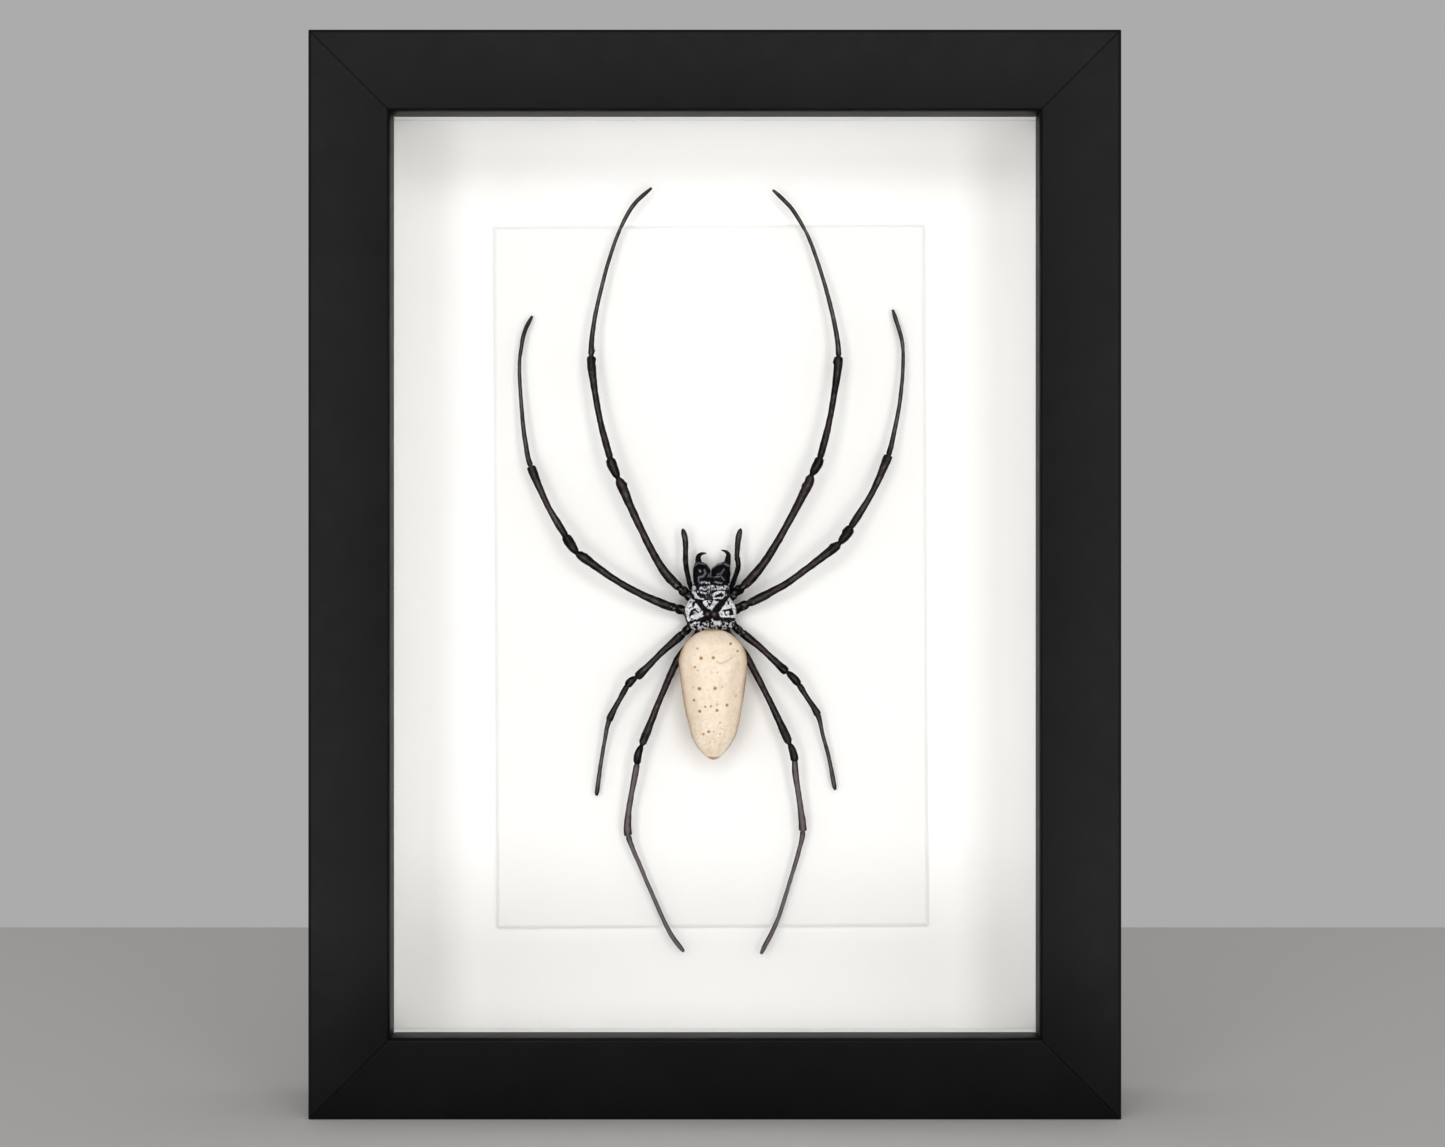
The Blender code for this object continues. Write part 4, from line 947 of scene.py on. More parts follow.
def abdomen_finish():
    """Cream skin, mottled with tan, brown in its pits and creases and towards the underside."""
    finish = Finish("abdomen skin", IOR=1.4, Subsurface_Weight=0.12, Subsurface_Scale=0.0012,
                    Subsurface_Radius=(1.0, 0.6, 0.35))
    place = finish.place()
    broad = finish.mottle(place, 240.0, 4.0)
    cream = finish.mix(broad, (0.9, 0.79, 0.675), (0.87, 0.72, 0.57))
    blotch = finish.mottle(place, 620.0, 5.0, low=-0.9, high=1.0)
    cream = finish.mix(finish.math("MULTIPLY", blotch, 0.55, clamp=True), cream, (0.78, 0.57, 0.38))
    freckles = finish.group("specks", Vector=place, Scale=1300.0, Size=0.3, Share=0.2)
    cream = finish.mix(finish.math("MULTIPLY", freckles, 0.4), cream, (0.66, 0.42, 0.2))
    fleck = finish.mottle(place, 1500.0, 4.0, low=-0.5, high=1.0)
    cream = finish.mix(finish.math("MULTIPLY", fleck, 0.22, clamp=True), cream, (0.97, 0.86, 0.72))
    ragged = finish.mottle(place, 700.0, 4.0, low=-0.36, high=0.1)
    flank = finish.math("ADD", finish.attribute("flank"), ragged, clamp=True)
    cream = finish.mix(flank, cream, (0.3, 0.17, 0.085))
    finish.feed("Base Color", finish.mix(finish.attribute("brown"), cream, (0.34, 0.158, 0.008)))
    finish.feed("Roughness", finish.mottle(place, 600.0, 4.0, low=0.5, high=0.66))
    fine = finish.mottle(place, 1900.0, 6.0)
    return finish.bump(fine, 0.75, 0.09 * MM)


# Pieces of the frame


def inset_outline(outline, distance):
    """The outline drawn in by this distance all round."""
    points = np.array(outline)
    before, after = np.roll(points, 1, axis=0), np.roll(points, -1, axis=0)
    moved = []
    for a, b, c in zip(before, points, after):
        first, second = (b - a) / np.hypot(*(b - a)), (c - b) / np.hypot(*(c - b))
        inward = np.array([-first[1] - second[1], first[0] + second[0]])
        inward /= np.hypot(*inward)
        moved.append(b + inward * distance / max(0.4, inward @ np.array([-first[1], first[0]])))
    return np.array(moved)


def moulding_outline():
    """The moulding's section as (distance in from the outer edge, depth from the front, painted or not)."""
    quarter = math.pi / 2
    depth = REAR - FRONT
    lip_depth = GLASS_FRONT - GAP - FRONT
    outer = arc((OUTER_ARRIS, OUTER_ARRIS), OUTER_ARRIS, math.pi, 3 * quarter, ARRIS_STEPS)
    lip = arc((RAIL_FACE - LIP_ARRIS, LIP_ARRIS), LIP_ARRIS, -quarter, 0, ARRIS_STEPS)
    lip_back = [(RAIL_FACE, lip_depth)]
    rebate = [(RAIL_FACE - 1.2 * MM, lip_depth), (REBATE_WALL, lip_depth), (REBATE_WALL, depth - BACK_ARRIS),
              (REBATE_WALL - BACK_ARRIS, depth), (BACK_ARRIS + PAINT_WRAP, depth)]
    back = arc((BACK_ARRIS, depth - BACK_ARRIS), BACK_ARRIS, quarter, math.pi, ARRIS_STEPS)
    points = outer + lip + lip_back + rebate + back
    paint = [1.0] * (len(outer + lip) + 1) + [0.0] * len(rebate) + [1.0] * len(back)
    inner = range(len(outer) + ARRIS_STEPS // 2, len(outer + lip) + 1)
    return points, paint, inner


def rail(name, node, length, angle, outward, finishes):
    """A length of the moulding with a mitre at each end, its sharp end edges eased."""
    outline, paint, inner = moulding_outline()
    full = np.array(outline)
    eased = inset_outline(outline, MITRE_ARRIS)
    around = np.concatenate([[0.0], np.cumsum(np.hypot(*np.diff(full, axis=0).T))])
    rings = []
    for sign in (-1, 1):
        pair = ((eased, SEAM), (full, SEAM + MITRE_ARRIS * math.sqrt(2)))
        for section, back in pair if sign < 0 else reversed(pair):
            along = sign * (length / 2 - section[:, 0] - back)
            rings.append(np.stack([along, section[:, 1], section[:, 0]], axis=-1))
    work = bmesh.new()
    layer = work.loops.layers.uv.new("UVMap")
    paint_layer = work.verts.layers.float.new("paint")
    rows = [[work.verts.new(point) for point in ring] for ring in rings]
    count = len(outline)
    for row in rows:
        for vert, value in zip(row, paint):
            vert[paint_layer] = value
    for first, second in zip(rows, rows[1:]):
        for i in range(count):
            j = (i + 1) % count
            face = work.faces.new((first[i], first[j], second[j], second[i]))
            face.material_index = int(i in inner)
            start, end = around[i], around[j] if j else around[i]
            for loop, v in zip(face.loops, (start, end, end, start)):
                loop[layer].uv = (loop.vert.co.x, v)
    work.faces.new(list(reversed(rows[0])))
    work.faces.new(rows[-1])
    bmesh.ops.recalc_face_normals(work, faces=work.faces)
    offset = Vector((0, 0, -outward))
    turn = Matrix.Rotation(angle, 4, "Y")
    offset.rotate(turn)
    place = Matrix.Translation(MIDDLE + offset + Vector((0, FRONT, 0))) @ turn
    bmesh.ops.transform(work, matrix=place, verts=work.verts)
    part_of_model(new_object(name, mesh_from(name, work, 35), *finishes), "frame_wood", node)


def build_rails():
    """The four rails, painted black, with the lip's inner face a matt black."""
    lip = Finish("matt black lip", Base_Color=(0.005, 0.005, 0.0055), Roughness=0.5, Specular_IOR_Level=0.1)
    finishes = (painted_wood(), lip.material)
    width, height = CAD_HIGH.x - CAD_LOW.x, CAD_HIGH.z
    for side, turn in SIDE_TURNS.items():
        length, across = (height, width) if side in ("left", "right") else (width, height)
        rail(side + "_rail", "frame_rail_" + side, length, turn, across / 2, finishes)


def eased_box(name, low, high, arris, finish):
    """A block between two corners with its edges eased."""
    work = bmesh.new()
    low, high = Vector(low), Vector(high)
    size = Matrix.Diagonal((*(high - low), 1.0))
    bmesh.ops.create_cube(work, size=1.0, matrix=Matrix.Translation((low + high) / 2) @ size)
    bmesh.ops.bevel(work, geom=list(work.edges), offset=arris, segments=2, profile=0.5, affect="EDGES")
    return new_object(name, mesh_from(name, work, 50), finish)


def build_card_lining():
    """White card strips that fill the space from the glass to the board."""
    finish = white_paper("white card", (0.98, 0.978, 0.97), (0.965, 0.962, 0.955), 0.35)
    for side in ("top", "bottom", "left", "right"):
        low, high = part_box("spacer_" + side)
        more = Vector((0, CARD_REACH, CARD_REACH if side in ("left", "right") else 0))
        strip = eased_box("card_" + side, low - more, high + more, CARD_ARRIS, finish)
        part_of_model(strip, "white_card", "spacer_" + side)


def build_boards():
    """The board, the raised panel on it, the glass and the back board."""
    board = white_paper("white board paper", (0.98, 0.977, 0.968), (0.965, 0.962, 0.952))
    low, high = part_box("backing_board")
    part_of_model(eased_box("board", low, high, BOARD_ARRIS, board), "white_board", "backing_board")
    panel_finish = white_paper("white panel paper", (0.93, 0.926, 0.914), (0.912, 0.908, 0.894))
    part_of_model(raised_panel(panel_finish), "white_panel", "mount_panel")
    for node, finish in (("glass_pane", clear_glass()), ("back_board", hardboard())):
        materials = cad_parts[node].data.materials
        materials.clear()
        materials.append(finish)


def raised_panel(finish):
    """The white panel with its bevelled edge, down on the board."""
    work = bmesh.new()
    depth = BOARD_FRONT - PANEL_FRONT
    size = Matrix.Diagonal((PANEL_WIDTH, depth, PANEL_HEIGHT, 1.0))
    bmesh.ops.create_cube(work, size=1.0, matrix=size)
    front_edges = [e for e in work.edges if all(v.co.y < 0 for v in e.verts)]
    bmesh.ops.bevel(work, geom=front_edges, offset=PANEL_BEVEL, segments=1, affect="EDGES")
    crisp = [e for e in work.edges if len(e.link_faces) == 2 and e.calc_face_angle() > 0.5]
    bmesh.ops.bevel(work, geom=crisp, offset=PANEL_ARRIS, segments=2, profile=0.5, affect="EDGES")
    place = Matrix.Translation(MIDDLE + PANEL_SHIFT + Vector((0, PANEL_FRONT + depth / 2, 0)))
    bmesh.ops.transform(work, matrix=place @ Matrix.Rotation(PANEL_TURN, 4, "Y"), verts=work.verts)
    return new_object("raised_panel", mesh_from("raised_panel", work, 30), finish)


def build_retainers():
    """Flat steel points with round ends, driven into the rails over the back board."""
    steel = plated_metal("retainer steel", (0.62, 0.62, 0.61), (0.4, 0.4, 0.4), 0.26)
    spots = [("retainer_bottom", "bottom", 0), ("retainer_top", "top", 0)]
    for side, lower in (("left", 1), ("right", -1)):
        spots += [(f"retainer_{side}_lower", side, lower), (f"retainer_{side}_upper", side, -lower)]
    for node, side, spread in spots:
        length = RETAINER_REACH + RETAINER_TAIL
        work = bmesh.new()
        size = Matrix.Diagonal((RETAINER_WIDTH, RETAINER_THICKNESS, length, 1.0))
        bmesh.ops.create_cube(work, size=1.0, matrix=size)
        tip = [e for e in work.edges if all(v.co.z > 0 for v in e.verts)
               and abs(e.verts[0].co.y - e.verts[1].co.y) > RETAINER_THICKNESS / 2]
        bmesh.ops.bevel(work, geom=tip, offset=RETAINER_ROUNDING, segments=8, profile=0.5, affect="EDGES")
        rims = [e for e in work.edges if len(e.link_faces) == 2 and e.calc_face_angle() > 1.0]
        bmesh.ops.bevel(work, geom=rims, offset=FITTING_ARRIS, segments=2, profile=0.5, affect="EDGES")
        turn = Matrix.Rotation(SIDE_TURNS[side], 4, "Y")
        outer_face = CAD_HIGH.x if side in ("left", "right") else CAD_HIGH.z / 2
        reach = outer_face - REBATE_WALL + RETAINER_TAIL - length / 2
        offset = Vector((spread * RETAINER_SPREAD, 0, -reach))
        offset.rotate(turn)
        depth = Vector((0, BACK_REAR + GAP + RETAINER_THICKNESS / 2, 0))
        bmesh.ops.transform(work, matrix=Matrix.Translation(MIDDLE + offset + depth) @ turn, verts=work.verts)
        point = new_object(node.replace("retainer", "point"), mesh_from(node, work, 40), steel)
        part_of_model(point, "retainer_steel", node)


def build_hanger():
    """The toothed strip with its raised middle, and the rivets through its feet."""
    brass = plated_metal("brassed steel", (0.72, 0.56, 0.27), (0.5, 0.36, 0.16), 0.24)
    low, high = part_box("sawtooth_hanger")
    half = (high.x - low.x) / 2
    height = high.z - low.z
    foot = half - HANGER_FOOT
    teeth = foot - HANGER_RISE
    stations = [(-half, 0, 0), (-foot, 0, 0)]
    stations += [(-teeth + teeth * i / TOOTH_COUNT, HANGER_RISE, (i % 2) * TOOTH_HEIGHT)
                 for i in range(2 * TOOTH_COUNT + 1)]
    stations += [(foot, 0, 0), (half, 0, 0)]
    work = bmesh.new()
    rows = []
    for along, rise, notch in stations:
        place = Vector(((low.x + high.x) / 2 + along, low.y + rise, low.z))
        rows.append([work.verts.new(place + Vector((0, 0, up))) for up in (height, notch)])
    for left, right in zip(rows, rows[1:]):
        work.faces.new((left[0], right[0], right[1], left[1]))
    mesh = mesh_from("toothed_hanger", work)
    obj = new_object("toothed_hanger", mesh, brass)
    wall = obj.modifiers.new("thickness", "SOLIDIFY")
    wall.thickness = HANGER_THICKNESS
    wall.offset = 1 if mesh.polygons[0].normal.y > 0 else -1
    wall.use_even_offset = False
    ease = obj.modifiers.new("eased", "BEVEL")
    ease.width = FITTING_ARRIS
    ease.segments = 2
    ease.limit_method = "ANGLE"
    part_of_model(obj, "hanger_steel", "sawtooth_hanger")
    for side in ("left", "right"):
        build_rivet("rivet_" + side, "hanger_rivet_" + side, brass)


def build_rivet(name, node, finish):
    """A rivet through the hanger's foot, with a domed head over a narrower shank."""
    low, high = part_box(node)
    centre, head = (low + high) / 2, (high.x - low.x) / 2
    base = BACK_REAR + GAP + HANGER_THICKNESS
    under_head = base - RIVET_CLEARANCE
    shank = head * RIVET_SHANK
    rings = [(shank, low.y + GAP), (shank, under_head), (head * 0.94, under_head)]
    for turn in np.linspace(0, math.pi / 2, RIVET_RINGS):
        rings.append((head * math.cos(turn * 0.98), base + (high.y - base) * math.sin(turn)))
    radius, depth = np.array(rings).T[:, :, None]
    angle = np.arange(RIVET_SIDES) / RIVET_SIDES * 2 * math.pi
    across, up = centre.x + radius * np.cos(angle), centre.z + radius * np.sin(angle)
    ends = np.array([(centre.x, rings[0][1], centre.z), (centre.x, rings[-1][1], centre.z)])
    mesh = skin(name, np.stack([across, depth + 0 * angle, up], -1), ends, {})
    mesh.set_sharp_from_angle(angle=math.radians(50))
    part_of_model(new_object(name, mesh, finish), "hanger_steel", node)


# Bristles


def bristle_tree():
    """Grows curved bristles over a skin, along its grow attribute and as dense as its hair attribute."""
    tree, given, result = new_group("bristles", "GeometryNodeTree", (
        ("Skin", "Geometry", None), ("Per Square Millimetre", "Float", 10.0), ("Length", "Float", 0.6 * MM),
        ("Thickness", "Float", 0.015 * MM), ("Bend", "Float", 0.3), ("Seed", "Int", 1),
        ("Finish", "Material", None),
    ), (("Bristles", "Geometry", None),))
    hair = add_node(tree, "GeometryNodeInputNamedAttribute", {"Name": "hair"}, data_type="FLOAT")
    per_metre = add_math(tree, "MULTIPLY", given["Per Square Millimetre"], 1e6)
    density = add_math(tree, "MULTIPLY", per_metre, hair.outputs["Attribute"])
    points = add_node(tree, "GeometryNodeDistributePointsOnFaces", {
        "Mesh": given["Skin"], "Density": density, "Seed": given["Seed"]})
    grow = add_node(tree, "GeometryNodeInputNamedAttribute", {"Name": "grow"}, data_type="FLOAT_VECTOR")
    stray = add_node(tree, "FunctionNodeRandomValue", {
        0: (-0.3, -0.3, -0.3), 1: (0.3, 0.3, 0.3), "Seed": given["Seed"]}, data_type="FLOAT_VECTOR")
    lean = add_node(tree, "ShaderNodeVectorMath", {0: grow.outputs["Attribute"], 1: stray.outputs[0]},
                    operation="ADD")
    aim = add_node(tree, "FunctionNodeAlignRotationToVector", {"Vector": lean.outputs[0]}, axis="Z")
    size = add_node(tree, "FunctionNodeRandomValue", {2: 0.55, 3: 1.2, "Seed": given["Seed"]},
                    data_type="FLOAT")
    cone = add_node(tree, "GeometryNodeMeshCone", {
        "Vertices": 3, "Side Segments": 3, "Radius Top": 0.003 * MM, "Radius Bottom": given["Thickness"],
        "Depth": given["Length"]}, fill_type="NGON")
    place = add_node(tree, "GeometryNodeInputPosition")
    up = add_node(tree, "ShaderNodeSeparateXYZ", {0: place.outputs[0]}).outputs["Z"]
    share = add_math(tree, "DIVIDE", up, given["Length"])
    bent = add_math(tree, "MULTIPLY", add_math(tree, "MULTIPLY", share, up), given["Bend"])
    shift = add_node(tree, "ShaderNodeCombineXYZ", {"X": bent})
    curved = add_node(tree, "GeometryNodeSetPosition", {
        "Geometry": cone.outputs["Mesh"], "Offset": shift.outputs[0]})
    placed = add_node(tree, "GeometryNodeInstanceOnPoints", {
        "Points": points.outputs["Points"], "Instance": curved.outputs[0], "Rotation": aim.outputs[0],
        "Scale": size.outputs[1]})
    real = add_node(tree, "GeometryNodeRealizeInstances", {0: placed.outputs[0]})
    finished = add_node(tree, "GeometryNodeSetMaterial", {
        "Geometry": real.outputs[0], "Material": given["Finish"]})
    tree.links.new(finished.outputs[0], result[0])
    return tree


BRISTLES = bristle_tree()


def bristles(name, kind, skin_mesh, finishes, seed):
    """Bristles over a skin as one plain mesh."""
    slot, finish, density, length, thickness, bend = BRISTLE_KINDS[kind]
    values = {
        "Finish": finishes[finish], "Seed": seed, "Per Square Millimetre": density, "Length": length * MM,
        "Thickness": thickness * MM, "Bend": bend,
    }
    carrier = bpy.data.objects.new(name, skin_mesh)
    bpy.context.scene.collection.objects.link(carrier)
    modifier = carrier.modifiers.new("bristles", "NODES")
    modifier.node_group = BRISTLES
    for item in BRISTLES.interface.items_tree:
        if item.name in values:
            modifier[item.identifier] = values[item.name]
    grown = bpy.data.meshes.new_from_object(carrier.evaluated_get(bpy.context.evaluated_depsgraph_get()))
    bpy.data.objects.remove(carrier)
    grown.name = name
    for attribute in list(grown.attributes):
        if attribute.name in ("hair", "grow", "tone", "gloss", "cover", "brown"):
            grown.attributes.remove(attribute)
    part_of_model(new_object(name, grown), slot)


# Pieces of the spider


def limb_stations(lengths, joints, widths, tones, shapes):
    """Where the rings of a limb lie along its path, with the width, paleness and gloss of each."""
    starts = np.cumsum([0] + [len(segment) for segment in joints])
    starts[-1] -= 1
    at, width, tone, gloss = [], [], [], []
    for i, shape in enumerate(shapes):
        near, far = lengths[starts[i] * PATH_STEPS], lengths[starts[i + 1] * PATH_STEPS]
        count = max(14, int((far - near) / RING_SPACING))
        steps = np.arange(count + (i == len(shapes) - 1)) / count
        eased = (1 - np.cos(math.pi * steps)) / 2
        share = RING_CROWDING * eased + (1 - RING_CROWDING) * steps
        knots = np.array(shape)
        at.append(near + (far - near) * share)
        width.append(widths[i] * np.interp(share, *knots.T))
        joint = np.minimum(share, 1 - share) * (far - near)
        tone.append(tones[i] + 0.12 * np.sin(math.pi * share) - 0.16 * bell(joint, JOINT_DARKENING))
        gloss.append((0.9 if i in (0, 2) else 0.35) + 0.5 * bell(joint, JOINT_GLOSS))
    return [np.concatenate(column) for column in (at, width, tone, gloss)]


def limb(name, bristle_finishes, cuticle):
    """A leg or a pedipalp: one tube through its joints, wrinkled and furrowed, with its bristles."""
    kind = name.rsplit("_", 1)[0]
    joints = LIMB_JOINTS[name]
    palp = kind == "pedipalp"
    shapes = list(SEGMENT_SHAPES.values())
    if palp:
        shapes = [PALP_SHAPE] * 4 + [PALP_TARSUS]
    elif kind in ("leg_3", "leg_4"):
        shapes[-1] = HIND_METATARSUS
    hip, knee = np.array(joints[0][0]), np.array(joints[1][0])
    inner = hip + (hip - knee) / np.linalg.norm(hip - knee) * (PALP_HIP_REACH if palp else HIP_REACH)
    joints = ((tuple(inner), *joints[0]), *joints[1:])
    path = smooth_path([point for segment in joints for point in segment])
    lengths = running_lengths(path)
    at, width, tone, gloss = limb_stations(lengths, joints, LEG_WIDTHS[kind], LEG_TONES[kind], shapes)
    places, outward, along, angle = tube_rings(path, lengths, at, width, width * LEG_DEPTH, LEG_SIDES)
    seed = sorted(LIMB_JOINTS).index(name)
    around = np.stack([np.cos(angle) * 0.9, np.sin(angle) * 0.9, at[:, None] * 0.35 + 0 * angle], -1)
    wrinkle = ripple(around, 0.6, seed)
    lump = ripple(around * np.array([0.7, 0.7, 1.6]), 0.5, seed + 40)
    furrow = sum(bell(angle - middle, wide) for middle, wide in FURROWS)
    along_only = np.stack([at[:, None] + 0 * angle, 0 * angle, 0 * angle], -1)
    furrow = furrow * (0.5 + 0.5 * ripple(along_only, 4.0, seed + 20))
    swell = (0.14 if palp else 0.07) * wrinkle + 0.07 * lump - 0.1 * furrow
    places = places + outward * (swell * width[:, None] / 2)[..., None]
    for right, up, height in KNOBS.get(name, ()):
        distance = np.hypot(places[..., 0] - right, places[..., 1] - up)
        places = places + outward * (height * bell(distance, KNOB_RADIUS))[..., None]
    hair = np.clip((at[:, None] - HAIR_START) / (HAIR_FULL - HAIR_START), 0.0, 1.0) * (0.6 + 0.4 * wrinkle)
    hair = hair * np.clip(width[:, None], 0.4, 1.0)
    grow = world_direction(along * 0.85 + outward * 0.55)
    # Painted highlights: paler lines along the top and upper sides, and paler where the wrinkles bulge out
    highlight_lines = sum(strength * bell(angle - middle, wide) for middle, wide, strength in PAINTED_HIGHLIGHT_LINES)
    paleness = tone[:, None] + 0.12 * wrinkle + 0.3 * highlight_lines * (0.7 + 0.8 * lump)
    # Painted shade: darker in the furrows, and on the sides and underside of the leg
    paleness = paleness - 0.25 * furrow - 0.85 * smoothstep(0.92, 0.45, np.sin(angle))
    # Painted glints: pale highlight specks on the darker black near the body
    glints = smoothstep(0.04, 0.24, ripple(around * np.array([1.0, 1.0, 2.2]), 0.42, seed + 60))
    near_body = smoothstep(GLINTS_END, GLINTS_FULL, at[:, None]) * (not palp)
    paleness = paleness + near_body * (glints - 0.28)
    gloss = gloss[:, None] - 1.6 * smoothstep(0.7, 0.1, np.sin(angle))
    mesh = skin(name, on_panel(places), on_panel([path[0], path[-1]]), {
        "tone": paleness, "gloss": gloss, "hair": hair, "grow": grow})
    label = name.replace("pedipalp", "palp")
    part_of_model(new_object(label + "_cuticle", mesh, cuticle), "leg_cuticle", name)
    bristles(label + "_bristles", "palp" if palp else "leg", mesh, bristle_finishes, seed)


def build_carapace(bristle_finishes):
    """The carapace with its grooves and bumps, its silver hair and brown spots."""
    places, angle = body_rings(CARAPACE_ROWS, CARAPACE_MIDDLE, CARAPACE_SIDES, CARAPACE_RINGS, CARAPACE_TAPER)
    x, y = places[..., 0] - CARAPACE_MIDDLE, places[..., 1]
    flat = np.stack([x, y, 0 * x], -1)
    top = np.clip(np.sin(angle), 0, 1)
    relief = 0.09 * ripple(flat, 0.7, 3) + 0.12 * ripple(flat, 1.8, 4)
    for height, width, strokes in CARAPACE_RELIEF:
        for start, end in strokes:
            relief = relief + height * bell(stroke_distance(x, y, start, end), width)
    places[..., 2] += relief * top
    ragged = 1 + 1.4 * smoothstep(-8.4, -9.0, y)
    sway_x = x + ragged * (0.11 * ripple(flat, 0.6, 7) + 0.08 * ripple(flat, 0.25, 17))
    sway_y = y + ragged * (0.11 * ripple(flat, 0.6, 8) + 0.08 * ripple(flat, 0.25, 18))
    cover = painted_cover(CARAPACE_MARKS, sway_x, sway_y, angle)
    thin = smoothstep(0.16, 0.42, ripple(flat, 0.42, 19)) * (0.55 + 0.35 * smoothstep(-8.6, -9.2, y))
    gaps = smoothstep(-0.02, 0.2, ripple(flat * np.array([1.0, 0.7, 1.0]), 0.5, 27))
    cover = cover * (1 - thin) * (1 - 0.85 * gaps * smoothstep(-8.7, -9.2, y))
    brown = np.zeros_like(x)
    for strength, width, strokes in CARAPACE_BROWN:
        for start, end in strokes:
            brown = np.maximum(brown, strength * bell(stroke_distance(x, y, start, end), width))
    outward = np.stack([np.cos(angle) * 0.8, -0.55 + 0 * x, np.abs(np.sin(angle)) * 0.45 + 0.1], -1)
    mesh = skin("carapace", on_panel(places), body_ends(CARAPACE_ROWS, CARAPACE_MIDDLE), {
        "cover": cover, "brown": brown, "hair": smoothstep(0.6, 0.95, cover) * top,
        "grow": world_direction(outward)})
    part_of_model(new_object("carapace", mesh, carapace_finish()), "carapace", "cephalothorax")
    bristles("carapace_silver_hair", "carapace", mesh, bristle_finishes, 31)
    return mesh


def build_eyes(carapace_mesh):
    """Eight small eyes on the front of the head, half sunk in it."""
    work = bmesh.new()
    work.from_mesh(carapace_mesh)
    surface = bvhtree.BVHTree.FromBMesh(work)
    work.free()
    eyes = bmesh.new()
    for side, up, radius in EYES:
        for sign in (-1, 1):
            above = Vector(on_panel((CARAPACE_MIDDLE + sign * side, up, 20.0)))
            place, normal = surface.ray_cast(above, Vector((0, 1, 0)))[:2]
            centre = place + normal * radius * MM * 0.25
            bmesh.ops.create_uvsphere(eyes, u_segments=20, v_segments=12, radius=radius * MM,
                                      matrix=Matrix.Translation(centre))
    mesh = mesh_from("eyes", eyes)
    mesh.shade_smooth()
    finish = glossy_black("eye", (0.006, 0.005, 0.007), 0.06)
    part_of_model(new_object("eyes", mesh, finish), "jaw_cuticle")


def build_jaws(bristle_finishes):
    """The two jaws with their painted pale highlights and bristles, and their fangs."""
    jaw = glossy_black("jaw cuticle", (0.002, 0.002, 0.003), 0.2, patches=True)
    fang_finish = glossy_black("fang", (0.006, 0.005, 0.006), 0.1, tip=(0.09, 0.025, 0.012))
    for number, (side, rows) in enumerate(CHELICERA_ROWS.items()):
        places, angle = body_rings(rows, 0.0, JAW_SIDES, JAW_RINGS, 0.0)
        x, y = places[..., 0], places[..., 1]
        top = np.clip(np.sin(angle), 0, 1)
        sway_x, sway_y = x + 0.12 * ripple(places, 0.7, 24), y + 0.12 * ripple(places, 0.7, 25)
        # The cover here is painted highlights and reflections, which also sink the surface a little
        cover = painted_cover(JAW_HIGHLIGHT_MARKS, sway_x, sway_y, angle)
        places[..., 2] += (0.07 * ripple(places, 0.8, 11 + number) - 0.25 * cover) * top
        grow = np.stack([0.3 * np.cos(angle), 0.8 + 0 * angle, 0.5 * np.sin(angle)], -1)
        hair = np.clip(0.2 + 0.8 * bell(y - 2.0, 0.4), 0, 1)
        mesh = skin("chelicera_" + side, on_panel(places), body_ends(rows, 0.0),
                    {"hair": hair, "cover": cover, "grow": world_direction(grow)})
        part_of_model(new_object("jaw_" + side, mesh, jaw), "jaw_cuticle", "chelicera_" + side)
        bristles("jaw_bristles_" + side, "jaw", mesh, bristle_finishes, 41 + number)
        build_fang(side, fang_finish)


def build_fang(side, finish):
    """A fang along its bent line, redder towards its tip."""
    path, lengths, at = even_path(FANG_POINTS[side], FANG_RINGS)
    share = at / lengths[-1]
    width = np.interp(share, *np.array(FANG_WIDTHS).T)
    places, _, _, angle = tube_rings(path, lengths, at, width, width * 0.9, FANG_SIDES)
    tone = 0.7 * smoothstep(0.55, 1.0, share)[:, None] + 0 * angle
    mesh = skin("fang_" + side, on_panel(places), on_panel([path[0], path[-1]]), {"tone": tone})
    part_of_model(new_object("fang_tip_" + side, mesh, finish), "jaw_cuticle", "fang_" + side)


